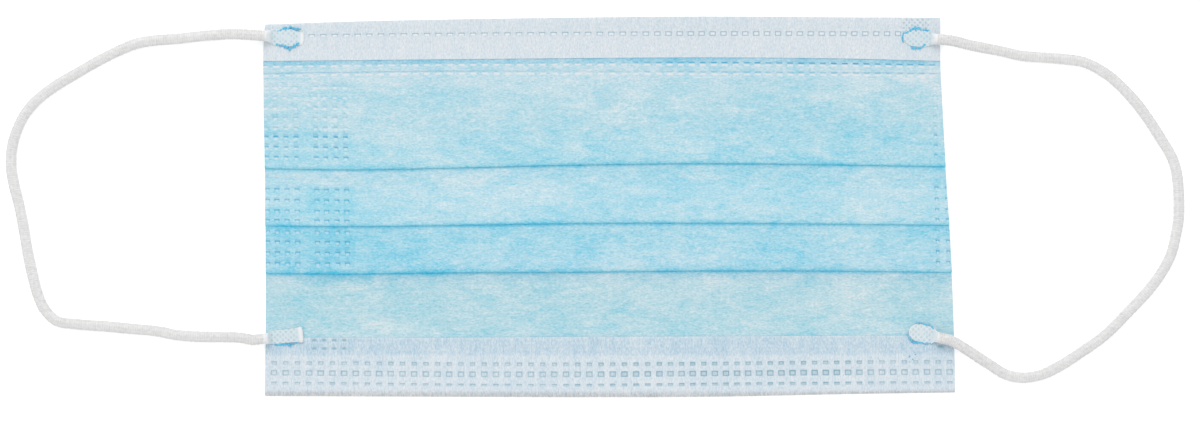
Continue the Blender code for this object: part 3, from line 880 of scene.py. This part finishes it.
def ear_loop(name, side, roots, rows, material):
    """Knitted round cord: rings round a path, the radius rippled by one rib each 0.6 mm.

    radius = (R - 0.02 mm) * (1 + 0.035 * (ribs + braid) + 0.015 * slow waves), flat where it rests.
    """
    points, run = loop_points(side, roots, rows, CORD_RING_STEP)
    _, sideways, upward = tube_axes(points)
    turn = angles(CORD_SIDES)
    rib = np.cos(FULL_TURN * run[:, None] / RIB_PITCH + 0.6 * np.cos(2.0 * turn)[None, :])
    slow = np.sin(run / (4.1 * MM)) + 0.8 * np.sin(run / (1.7 * MM) + 1.0)
    s = run[:, None] / MM
    t = turn[None, :]
    braid = (np.sin(5.1 * s + 3.0 * t) + 0.8 * np.sin(4.3 * s - 2.0 * t + 0.7)
             + 0.7 * np.sin(13.7 * s + 5.0 * t + 2.0) + 0.6 * np.sin(8.9 * s - 4.0 * t + 1.1)) / 2.0
    radius = (CORD_RADIUS - 0.02 * MM) * (1.0 + 0.035 * rib + 0.035 * braid + 0.015 * slow[:, None])
    rings = (points[:, None, :] + radius[:, :, None]
             * (np.cos(turn)[None, :, None] * sideways[:, None, :]
                + np.sin(turn)[None, :, None] * upward[:, None, :]))
    rings[:, :, 2] = np.maximum(rings[:, :, 2], 0.02 * MM)
    piece = tube_piece(name, rings, run / RIB_PITCH, material)
    path = [tuple(float(value) for value in point) for point in points[::8]]
    path.append(tuple(float(value) for value in points[-1]))
    return piece


# Sections of a flattened cord end, in millimetres
# Columns: share along, width, thickness, squareness, share of the root's height
ROUND_CORD = ((-0.05, 2.70, 2.70, 2.0, 1.00), (0.02, 2.75, 2.60, 2.0, 0.97))
OVAL_END = np.array(ROUND_CORD + (
    (0.07, 2.95, 1.85, 2.2, 0.70),
    (0.13, 3.60, 0.90, 2.6, 0.24),
    (0.21, 4.30, 0.44, 3.2, 0.00),
    (0.32, 4.50, 0.38, 3.4, 0.00),
    (0.52, 4.60, 0.36, 3.6, 0.00),
    (0.70, 4.30, 0.36, 3.4, 0.00),
    (0.80, 3.60, 0.34, 3.0, 0.00),
    (0.87, 3.20, 0.32, 2.8, 0.00),
    (0.95, 3.00, 0.30, 2.8, 0.00),
    (0.98, 2.60, 0.26, 2.4, 0.00),
))
ROUND_END = np.array(ROUND_CORD + (
    (0.07, 2.90, 1.90, 2.2, 0.72),
    (0.12, 3.30, 1.00, 2.6, 0.30),
    (0.20, 4.05, 0.46, 3.2, 0.00),
    (0.30, 4.45, 0.38, 3.4, 0.00),
    (0.42, 4.65, 0.36, 3.4, 0.00),
    (0.58, 4.60, 0.36, 3.2, 0.00),
    (0.72, 3.90, 0.34, 3.0, 0.00),
    (0.81, 2.80, 0.32, 2.6, 0.00),
    (0.86, 1.60, 0.26, 2.2, 0.00),
    (0.88, 0.60, 0.20, 2.0, 0.00),
))
STRAIGHT_END = np.array(ROUND_CORD + (
    (0.07, 2.80, 2.35, 2.1, 0.88),
    (0.12, 3.00, 1.40, 2.4, 0.46),
    (0.18, 3.30, 0.62, 3.2, 0.04),
    (0.27, 3.45, 0.50, 3.6, 0.00),
    (0.52, 3.50, 0.46, 3.8, 0.00),
    (0.74, 3.60, 0.48, 3.6, 0.00),
    (0.82, 3.70, 0.58, 3.2, 0.00),
    (0.89, 3.90, 0.78, 2.8, 0.00),
    (0.97, 3.80, 0.80, 2.8, 0.00),
    (1.00, 3.40, 0.60, 2.4, 0.00),
))
BLUNT_END = np.vstack((
    ROUND_CORD, ((0.05, 2.95, 1.90, 2.2, 0.72), (0.085, 3.60, 1.00, 2.6, 0.28),
                 (0.13, 4.25, 0.46, 3.2, 0.00), (0.25, 4.50, 0.38, 3.4, 0.00)), ROUND_END[6:]))
# Welds: height of the seat, sections, greyness of the print, share of the beads' measured width
WELDS = {
    "top_left": (TOP_SEAT, OVAL_END, 0.42, 0.74),
    "bottom_left": (BOTTOM_SEAT, STRAIGHT_END, 0.44, 0.66),
    "top_right": (TOP_SEAT, ROUND_END, 0.45, 0.74),
    "bottom_right": (BOTTOM_SEAT, BLUNT_END, 0.36, 0.54),
}


def staggered_pits(x, y):
    """Pits in staggered rows: 1 where the product of two cosines is highest, 0 between."""
    wave = np.cos(FULL_TURN * x / PIT_PITCH) * np.cos(FULL_TURN * y / PIT_PITCH)
    return ease((wave - 0.15) / 0.55)


def cord_end(name, seat, sections, greyness, material):
    """Flattened cord end: superellipse sections from the round cord to the frayed free tip.

    The flat part carries the weld's staggered pits, square to the mask, and is greyer.
    """
    middle, direction, length = CORD_ENDS[name]
    direction = np.array(direction) / np.hypot(*direction)
    square = np.array((-direction[1], direction[0]))
    tip = sections[-1, 0]
    along = np.linspace(sections[0, 0], tip, CORD_END_RINGS)
    section = smooth_through(sections[:, 0], sections[:, 1:], along)
    width, thick, squareness, lift = (column[:, None] for column in section.T)
    along = along[:, None]
    run = (along - 0.5) * length

    def laid(out):
        return np.array(middle) + run[:, :, None] * direction + out[:, :, None] * square

    turn = angles(CORD_END_SIDES)[None, :]
    power = 2.0 / squareness
    sideways = width / 2 * np.sign(np.cos(turn)) * np.abs(np.cos(turn)) ** power * MM
    upward = thick / 2 * np.sign(np.sin(turn)) * np.abs(np.sin(turn)) ** power * MM
    centre = seat + thick / 2 * MM + lift * (ROOT_HEIGHT - seat - CORD_RADIUS)
    flat = ease((along - 0.10) / 0.06) * ease((0.86 - along) / 0.06)
    fray = ease((along - 0.86) / 0.06) * (tip > 0.95)
    frayed = 0.10 * MM * fray * np.sin(37.0 * turn + 90.0 * along)
    sideways = sideways * (1.0 + 0.05 * fray * np.sin(220.0 * along)) + frayed * np.cos(turn)
    place = laid(sideways)
    top = ease(np.sin(turn) * 3.0)
    pressed = flat * top * staggered_pits(place[:, :, 0], place[:, :, 1])
    upward = upward - 0.12 * MM * pressed
    shrink = np.where(along > tip - 0.015, 0.72, 1.0)
    rings = np.dstack((laid(sideways * shrink), centre + upward * shrink))
    print_share = ease((along - 0.08) / 0.05) * ease((0.92 - along) / 0.05) * top
    haze = np.clip(0.45 * pressed + greyness * print_share, 0.0, 1.0)
    piece = tube_piece("flattened_end_" + name, rings, run[:, 0] / RIB_PITCH, material,
                       {"press": haze})
    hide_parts("cord_end_" + name)


# Beads of melted blue cloth round each weld: x, y and width along each bead, in millimetres
MELT_BEADS = {
    "top_left": (
        ((-84.95, 44.60, 0.31), (-83.93, 45.01, 0.38), (-82.79, 45.42, 0.92), (-82.02, 45.26, 0.41),
         (-81.38, 45.72, 0.82), (-80.62, 45.36, 0.66), (-79.98, 45.16, 0.97), (-79.22, 45.26, 0.51),
         (-78.71, 45.26, 0.20)),
        ((-85.34, 41.54, 0.26), (-84.57, 41.13, 0.56), (-83.42, 41.00, 0.66), (-82.53, 40.67, 0.82),
         (-81.77, 40.32, 1.07), (-81.13, 40.49, 0.61), (-80.36, 40.88, 0.77), (-79.39, 41.59, 0.66),
         (-79.19, 41.85, 0.26)),
    ),
    "top_right": (
        ((75.06, 44.24, 0.36), (75.70, 44.29, 0.51), (76.46, 44.60, 0.41), (77.48, 45.16, 0.77),
         (78.63, 45.47, 1.02), (79.52, 45.16, 0.51), (80.41, 45.01, 0.56), (81.31, 44.91, 0.66),
         (81.69, 44.65, 0.26)),
        ((75.14, 44.04, 0.41), (74.98, 43.38, 0.41), (74.93, 42.61, 0.36), (75.19, 41.72, 0.26)),
        ((77.05, 40.83, 0.41), (77.48, 40.42, 0.77), (78.50, 40.47, 0.61), (79.27, 40.42, 0.71),
         (79.90, 40.57, 0.31), (80.41, 40.98, 0.56), (81.00, 41.49, 0.51)),
    ),
    "bottom_left": (
        ((-85.59, -35.42, 0.31), (-84.70, -35.39, 0.46), (-83.68, -35.37, 0.51), (-82.66, -35.27, 0.56),
         (-81.89, -35.34, 0.77), (-81.00, -35.22, 0.46), (-79.98, -34.91, 0.46), (-79.14, -34.55, 0.56)),
        ((-81.77, -35.42, 0.51), (-81.49, -35.78, 0.41), (-81.23, -36.08, 0.20)),
    ),
    "bottom_right": (
        ((78.45, -29.96, 0.41), (79.27, -29.91, 0.51), (80.16, -30.01, 0.46), (80.92, -30.37, 0.61),
         (81.82, -30.47, 0.51), (82.73, -31.19, 0.51), (82.96, -31.47, 0.20)),
        ((76.05, -32.61, 0.31), (76.59, -33.63, 0.51), (77.10, -34.27, 0.77), (77.86, -34.81, 0.82),
         (78.88, -34.81, 0.87), (79.78, -34.86, 0.46), (80.80, -35.11, 0.56), (81.69, -35.06, 0.61),
         (82.58, -35.01, 0.36), (83.42, -34.86, 0.36)),
    ),
    "beside_bottom_right": (
        ((76.56, -38.26, 0.26), (76.72, -38.42, 0.46), (76.88, -38.58, 0.26)),
        ((77.46, -39.01, 0.26), (77.62, -39.15, 0.46), (77.78, -39.29, 0.26)),
        ((76.58, -39.62, 0.26), (76.72, -39.76, 0.42), (76.86, -39.90, 0.26)),
        ((78.15, -37.78, 0.26), (78.26, -37.95, 0.40), (78.36, -38.12, 0.26)),
    ),
}


def melt_bead(name, stations, seat, base, share, seed, material):
    """Bead of melted cloth: half-round sections along a path, their width ragged.

    Width = share * smooth width * (1 + 0.42 * sum of three sines of the run); height = 0.3 of the
    width above base, with its lower side on the seat.
    """
    stations = np.array(stations) * MM
    run = run_from(np.hypot(*np.diff(stations[:, :2], axis=0).T))
    at = np.linspace(0.0, run[-1], max(12, int(run[-1] / (0.07 * MM))))
    curve = smooth_through(run, stations, at)
    turns = np.random.default_rng(seed).uniform(0.0, FULL_TURN, 3)
    ragged = (np.sin(at / (0.11 * MM) + turns[0]) + 0.8 * np.sin(at / (0.19 * MM) + turns[1])
              + 0.6 * np.sin(at / (0.067 * MM) + turns[2]))
    width = np.maximum(share * curve[:, 2] * (1.0 + 0.42 * ragged), 0.08 * MM)
    taper = np.minimum(1.0, np.minimum(at, run[-1] - at) / (0.2 * MM) + 0.15)
    width = (width * taper)[:, None]
    points = np.column_stack((curve[:, :2], np.full(len(at), base)))
    _, sideways, _ = tube_axes(points)
    turn = angles(BEAD_SIDES)[None, :]
    out = np.cos(turn) * width / 2
    rings = points[:, None, :] + out[:, :, None] * sideways[:, None, :]
    rings[:, :, 2] += np.where(np.sin(turn) > 0.0, np.sin(turn) * width * 0.30,
                               np.sin(turn) * (base - seat + 0.04 * MM))
    return tube_piece(name, rings, at / MM, material)


def pressed_patch(material):
    """Stray print of the weld's pits on the top band beside the top right cord end.

    A thin closed sheet that follows the band: height = band height + 0.04 mm - 0.02 mm * pits.
    """
    left, right = PATCH_ACROSS
    upper, lower = PATCH_DOWN
    across = np.linspace(left, right, 120)
    down = np.linspace(upper, lower, 60)
    x, y = place_on_mask(across, down)
    curve = fine_profile(TOP_BAND_PROFILE, down)
    curve = curve[:np.argmin(curve[:, 0])][::-1]
    ground = (np.interp(down, curve[:, 0], curve[:, 1]) + PLY_WALL / 2)[:, None]
    edge = np.outer(ease((down - upper) / (0.2 * MM)) * ease((lower - down) / (0.3 * MM)),
                    ease((across - left) / 0.003) * ease((right - across) / 0.006))
    pits = staggered_pits(x - 0.4 * MM, y) * edge
    front = np.dstack((x, y, ground + 0.04 * MM - 0.02 * MM * pits))
    back = np.dstack((x, y, np.broadcast_to(ground - 0.10 * MM, x.shape)))
    piece = closed_cloth("pressed_patch_top_right", front, back, np.arange(len(across)),
                         cloth_uv(across, down), material, {"press": 0.5 * pits})
    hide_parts("top_binding")


def cord_fuzz(name, side, roots, rows, seed, material):
    """Short loose fibres that stand off the cord, as thin three-sided threads in one mesh.

    Each thread starts in the cord and curls:
    place = start + out * (length + 0.1 mm) * t + along * length * bend * t^2.
    """
    chance = np.random.default_rng(seed)
    points, run = loop_points(side, roots, rows, CORD_RING_STEP)
    along, sideways, upward = tube_axes(points)
    at = chance.integers(20, len(points) - 20, FUZZ_COUNT)
    angle = chance.uniform(-0.4, math.pi + 0.4, FUZZ_COUNT)
    out = np.cos(angle)[:, None] * sideways[at] + np.sin(angle)[:, None] * upward[at]
    reach = chance.uniform(0.25, 0.75, FUZZ_COUNT)[:, None] * MM
    bend = chance.uniform(-1.6, 1.6, FUZZ_COUNT)[:, None]
    steps = np.linspace(0.0, 1.0, 5)
    start = points[at] + out * (CORD_RADIUS - 0.12 * MM)
    spine = (start[:, None, :] + steps[None, :, None] * (out * (reach + 0.1 * MM))[:, None, :]
             + (steps ** 2)[None, :, None] * (along[at] * reach * bend)[:, None, :])
    spine[:, :, 2] = np.maximum(spine[:, :, 2], 0.03 * MM)
    turn = (np.arange(3) * FULL_TURN / 3)[None, None, :, None]
    thin = (0.022 * MM * (1.0 - 0.6 * steps))[None, :, None, None]
    cross = np.cross(out, along[at])
    ring = np.cos(turn) * along[at][:, None, None, :] + np.sin(turn) * cross[:, None, None, :]
    cloud = spine[:, :, None, :] + thin * ring
    first = (15 * np.arange(FUZZ_COUNT))[:, None, None]
    quads = (np.array(tube_faces(5, 3)[:-2]) + first).reshape(-1, 4)
    caps = (np.array(((2, 1, 0), (12, 13, 14))) + first).reshape(-1, 3)
    uv = paired((run[at] / RIB_PITCH)[:, None, None], steps[None, :, None] + np.zeros(3)).reshape(-1, 2)
    return make_piece(name, cloud.reshape(-1, 3), quads.tolist() + caps.tolist(), uv, material)


# Camera, light and table


def look_at(item, place, target):
    """Put a lamp at a place and aim its -Z at a target."""
    item.location = place
    offset = np.array(target) - np.array(place)
    yaw = math.atan2(offset[1], offset[0])
    fall = math.acos(-offset[2] / np.linalg.norm(offset))
    item.rotation_euler = (fall, 0.0, yaw - math.pi / 2)


def add_camera():
    """Camera straight above the mask, with 307 mm of the table across the frame."""
    camera = bpy.data.cameras.new("camera")
    camera.lens = 100.0
    camera.sensor_width = 36.0
    camera.clip_end = 50.0
    item = new_object("camera", camera)
    item.location = (-2.33 * MM, -1.63 * MM, 0.853)
    bpy.context.scene.camera = item


def add_lamp(name, place, size, power):
    """Square soft lamp aimed at the mask."""
    lamp = bpy.data.lights.new(name, "AREA")
    lamp.shape = "SQUARE"
    lamp.size = size
    lamp.energy = power
    look_at(new_object(name, lamp), place, (0.0, 0.0, 0.0))


def add_studio():
    """Even pale surroundings, one soft lamp beyond the top edge and a weak one in front."""
    world = bpy.data.worlds.new("studio")
    world.use_nodes = True
    background = world.node_tree.nodes["Background"]
    background.inputs["Color"].default_value = (1.0, 1.0, 1.0, 1.0)
    background.inputs["Strength"].default_value = 0.72
    bpy.context.scene.world = world
    bpy.context.scene.view_settings.view_transform = "Standard"
    add_lamp("upper_lamp", (-0.25, 0.75, 1.20), 0.9, 6.8)
    add_lamp("front_lamp", (0.4, -0.9, 1.0), 0.9, 1.2)


def add_table():
    """Pale table under the mask, a little self-lit so that it stays white."""
    half = 6.0
    mesh = bpy.data.meshes.new("table")
    corners = [(-half, -half, 0.0), (half, -half, 0.0), (half, half, 0.0), (-half, half, 0.0)]
    mesh.from_pydata(corners, [], [(0, 1, 2, 3)])
    material = bpy.data.materials.new("table_white")
    material.use_nodes = True
    tree = material.node_tree
    shader = tree.nodes["Principled BSDF"]
    grain = noise(tree, own_place(tree), 60.0, 2.0, 0.5)
    tint = mix_colour(tree, "MIX", grain, (0.93, 0.93, 0.93, 1.0), (0.97, 0.97, 0.97, 1.0))
    tree.links.new(tint, shader.inputs["Base Color"])
    for label, value in (("Roughness", 0.9), ("Specular IOR Level", 0.1),
                         ("Emission Color", (1.0, 1.0, 1.0, 1.0)), ("Emission Strength", 0.30)):
        shader.inputs[label].default_value = value
    mesh.materials.append(material)
    new_object("table", mesh)


# Cloth colours: place down in millimetres, then red, green and blue from 0 to 255

# Round each fold line (37.6 to 38.9, 52.6 to 53.9 and 65.0 to 66.4 mm down) the stops paint light and
# shade: a saturated cyan line for light passing through and between the folded plies, and below the third
# line a greyer tail for the fold's shadow on the panel under it
BLUE_ZONES = (
    (10.9, 148, 208, 229), (11.9, 160, 211, 230), (12.8, 214, 227, 234), (14.7, 217, 227, 234),
    (22.0, 203, 225, 233), (28.0, 189, 224, 235), (37.2, 163, 220, 235), (37.6, 104, 212, 234),
    (37.9, 58, 222, 248), (38.15, 70, 234, 255), (38.45, 160, 216, 232), (38.9, 186, 223, 235),
    (44.0, 192, 227, 239), (51.5, 183, 225, 238), (52.3, 166, 220, 236), (52.6, 96, 212, 236),
    (52.9, 62, 220, 248), (53.2, 46, 232, 255), (53.5, 104, 216, 240), (53.9, 158, 219, 236),
    (57.0, 164, 221, 237), (63.5, 168, 221, 238), (64.6, 156, 217, 234), (65.0, 58, 202, 230),
    (65.35, 26, 224, 254), (65.6, 52, 226, 252), (65.9, 162, 209, 223), (66.4, 180, 214, 226),
    (69.0, 199, 223, 230), (81.0, 200, 225, 232), (83.0, 188, 220, 232),
)
TOP_BAND_ZONES = (
    (0.0, 222, 229, 234), (1.5, 223, 231, 237), (4.0, 223, 231, 237), (6.0, 229, 235, 240),
    (10.5, 228, 235, 241),
)
BOTTOM_BAND_ZONES = (
    (82.0, 214, 231, 240), (82.8, 198, 221, 234), (86.4, 200, 221, 234), (87.2, 223, 233, 240),
    (94.6, 230, 237, 243), (95.9, 232, 238, 244), (96.3, 214, 219, 228), (96.7, 206, 203, 200),
    (97.4, 212, 209, 204),
)
INNER_ZONES = (
    (0.0, 224, 229, 231), (97.0, 226, 229, 230),
)


def top_band_relief(across, down):
    """One row of stamped dashes along the top band: open below at the left, closed at the right."""
    depth, press = stamped_squares(across, down, BAND_DASHES, TOP_DASH_ROW, 0.80, 0.44, 0.08,
                                   (0.95, 0.40, 0.12), -0.60)
    _, closed = stamped_squares(across, down, BAND_DASHES, TOP_DASH_ROW, 0.74, 0.50, 0.08,
                                (0.75, 0.60, 0.70), -0.45)
    right = ease((across - 0.40) / 0.25)
    return depth, press * (1.0 - right) + closed * right


def bottom_band_relief(across, down):
    """Three rows of stamped squares along the bottom band, and the side dimples on its upper part."""
    depth = np.zeros((len(down), len(across)))
    press = np.zeros_like(depth)
    chance = np.random.default_rng(12)
    full = 0.22 * ease((across - 0.42) / 0.10) * ease((0.90 - across) / 0.06)
    for *size, edges, fill in BOTTOM_SQUARES:
        more_depth, more_press = stamped_squares(across, down, BAND_SQUARES, *size, edges, fill)
        _, solid = stamped_squares(across, down, BAND_SQUARES, *size, (1.0, 1.0, 1.0), 1.0)
        uneven = np.interp(across, np.linspace(0.0, 1.0, 118), chance.uniform(0.78, 1.12, 118))
        depth = depth + more_depth
        press = press + (more_press + solid * full) * uneven
    dimple = across_marks(across, BAND_DIMPLES, 0.42, 0.30)
    depth = depth - 0.08 * MM * bar(down, BAND_DIMPLE_ROWS, 0.30, 0.28, dimple)
    press = press + 0.7 * bar(down, BAND_DIMPLE_ROWS - 0.2, 0.2, 0.25, dimple)
    under_cord = bar(down, 84.8, 0.20, 0.40, across_marks(across, (0.980,), 0.50, 0.60))
    return depth, press + 0.75 * under_cord


# Profiles of the two bands: place down and height of the middle of the cloth, in millimetres

TOP_BAND_PROFILE = (
    (10.70, 0.93), (10.20, 0.94), (8.60, 0.98), (6.60, 1.02), (4.60, 1.04), (2.80, 1.03),
    (1.40, 0.98), (0.55, 0.86), (0.16, 0.62), (0.40, 0.36), (1.10, 0.20), (2.50, 0.13), (7.50, 0.12),
)
BOTTOM_BAND_PROFILE = (
    (82.00, 0.93), (82.35, 0.92), (83.20, 0.92), (85.60, 0.93), (86.60, 0.96), (87.40, 1.04),
    (89.00, 1.08), (92.50, 1.08), (95.00, 1.02), (95.85, 0.92), (96.25, 0.74), (96.70, 0.62),
    (97.12, 0.50), (97.28, 0.34), (97.10, 0.18), (96.20, 0.12), (90.00, 0.12),
)


def every_few(count, step):
    """Indices of every few columns, with the last one always among them."""
    kept = np.arange(0, count - 1, step)
    return np.append(kept, count - 1)


def main():
    """Build the scene: camera and cords first, then the cloth and the welded ends."""
    add_camera()
    web = fibre_web_group()
    knit = knit_group()
    cord_white = cord_material("knitted_cord", knit, web, (202, 201, 201), (239, 238, 238))
    left_fuzz = cord_fuzz("left_loop_fuzz", -1.0, LEFT_ROOTS, LEFT_ROUTE, 5, cord_white)
    right_fuzz = cord_fuzz("right_loop_fuzz", 1.0, RIGHT_ROOTS, RIGHT_ROUTE, 8, cord_white)
    left_loop = ear_loop("left_loop_cord", -1.0, LEFT_ROOTS, LEFT_ROUTE, cord_white)
    right_loop = ear_loop("right_loop_cord", 1.0, RIGHT_ROOTS, RIGHT_ROUTE, cord_white)
    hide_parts("left_ear_loop")
    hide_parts("right_ear_loop")
    add_studio()
    add_table()

    # The blue cloth's dark and light mark colours are painted shade above each pressed mark and a painted
    # highlight below it
    blue = cloth_material("blue_bonded_cloth", web, BLUE_ZONES, (72, 166, 206), (226, 230, 234),
                          (0.50, 0.85, 0.94), (1.15, 1.15, 0.20), 0.35, False)
    inner_white = cloth_material("inner_white_cloth", web, INNER_ZONES, (200, 205, 208), (235, 236, 236),
                                 (0.85, 0.87, 0.88), (0.6, 0.4, 0.3), 0.3, False)
    top_white = cloth_material("top_band_cloth", web, TOP_BAND_ZONES, (140, 176, 192), (246, 247, 248),
                               (0.80, 0.86, 0.90), (1.5, 0.5, 0.35), 0.4, True)
    bottom_white = cloth_material("bottom_band_cloth", web, BOTTOM_BAND_ZONES, (130, 174, 190),
                                  (240, 243, 246), (0.76, 0.85, 0.91), (1.7, 0.65, 0.4), 0.4, True)

    crease_columns = np.arange(0.840, 0.892, 0.0024)
    right_dimple_columns = np.arange(0.9740, 1.0, 0.0012)
    columns = np.concatenate((stations_around(SEAM_DASHES, DASH_OFFSETS, MM_ACROSS),
                              stations_around(LEFT_DIMPLES, DIMPLE_OFFSETS, MM_ACROSS),
                              crease_columns, right_dimple_columns))
    across = merged(columns, 0.13 * MM_ACROSS, 0.0, 1.0)
    upper_rows = np.arange(3.5 * MM, 11.0 * MM, 2.5 * MM)
    seam_rows = np.arange(11.7 * MM, 15.4 * MM, 0.17 * MM)
    lower_rows = np.arange(16.5 * MM, 95.0 * MM, 3.6 * MM)
    crease_rows = np.arange(42.0 * MM, 52.6 * MM, 1.3 * MM)
    dimple_rows = stations_around(DIMPLE_ROWS, DIMPLE_ROW_OFFSETS, MM)
    rows = merged(np.concatenate((upper_rows, seam_rows, lower_rows, crease_rows, dimple_rows)),
                  0.14 * MM, 0.0, MASK_HEIGHT)
    outer, run = folded_ply("outer_blue_cloth", across, every_few(len(across), 8), rows, 6,
                            OUTER_PLY, cloth_relief, blue)
    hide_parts("pleated_body")
    plain = np.linspace(0.0, 1.0, 61)
    plain_rows = np.arange(0.0, 0.096, 0.003)
    inner, run = folded_ply("inner_white_cloth", plain, np.arange(len(plain)), plain_rows, 5,
                            INNER_PLY, no_relief, inner_white)
    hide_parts("pleated_body")

    columns = stations_around(BAND_DASHES, SQUARE_OFFSETS, MM_ACROSS)
    across = merged(columns, 0.12 * MM_ACROSS, 0.0, 1.0)
    rows = stations_around((TOP_DASH_ROW * MM,), np.linspace(-0.66, 0.66, 11), MM)
    top, run = band("top_band_cloth", fine_profile(TOP_BAND_PROFILE, rows), across,
                    every_few(len(across), 6), top_band_relief, top_white)
    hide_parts("top_binding")

    columns = np.concatenate((stations_around(BAND_SQUARES, SQUARE_OFFSETS, MM_ACROSS),
                              stations_around(BAND_DIMPLES, DIMPLE_OFFSETS, MM_ACROSS)))
    across = merged(columns, 0.12 * MM_ACROSS, 0.0, 1.0)
    rows = np.concatenate((
        stations_around([row[0] * MM for row in BOTTOM_SQUARES], np.linspace(-0.77, 0.77, 12), MM),
        stations_around(BAND_DIMPLE_ROWS * MM, DIMPLE_ROW_OFFSETS, MM)))
    bottom, run = band("bottom_band_cloth", fine_profile(BOTTOM_BAND_PROFILE, rows), across,
                       every_few(len(across), 6), bottom_band_relief, bottom_white)
    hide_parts("bottom_binding")

    end_white = cord_material("flattened_cord", knit, web, (226, 229, 232), (243, 245, 246),
                              (172, 206, 218), 0.15)
    melt = melt_material("melted_blue_cloth", web, (76, 180, 222), (124, 216, 243))
    for number, (name, (seat, sections, greyness, share)) in enumerate(WELDS.items()):
        cord_end(name, seat, sections, greyness, end_white)
        for index, stations in enumerate(MELT_BEADS[name]):
            bead = melt_bead("melt_" + name + "_" + str(index + 1), stations, seat, seat + BEAD_LIFT,
                             share, 10 * number + index, melt)
            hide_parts("cord_end_" + name)
    for index, stations in enumerate(MELT_BEADS["beside_bottom_right"]):
        bead = melt_bead("melt_beside_bottom_right_" + str(index + 1), stations, TOP_SEAT,
                         TOP_SEAT + 0.05 * MM, 0.90, 50 + index, melt)
        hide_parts("bottom_binding")
    pressed_patch(top_white)


main()
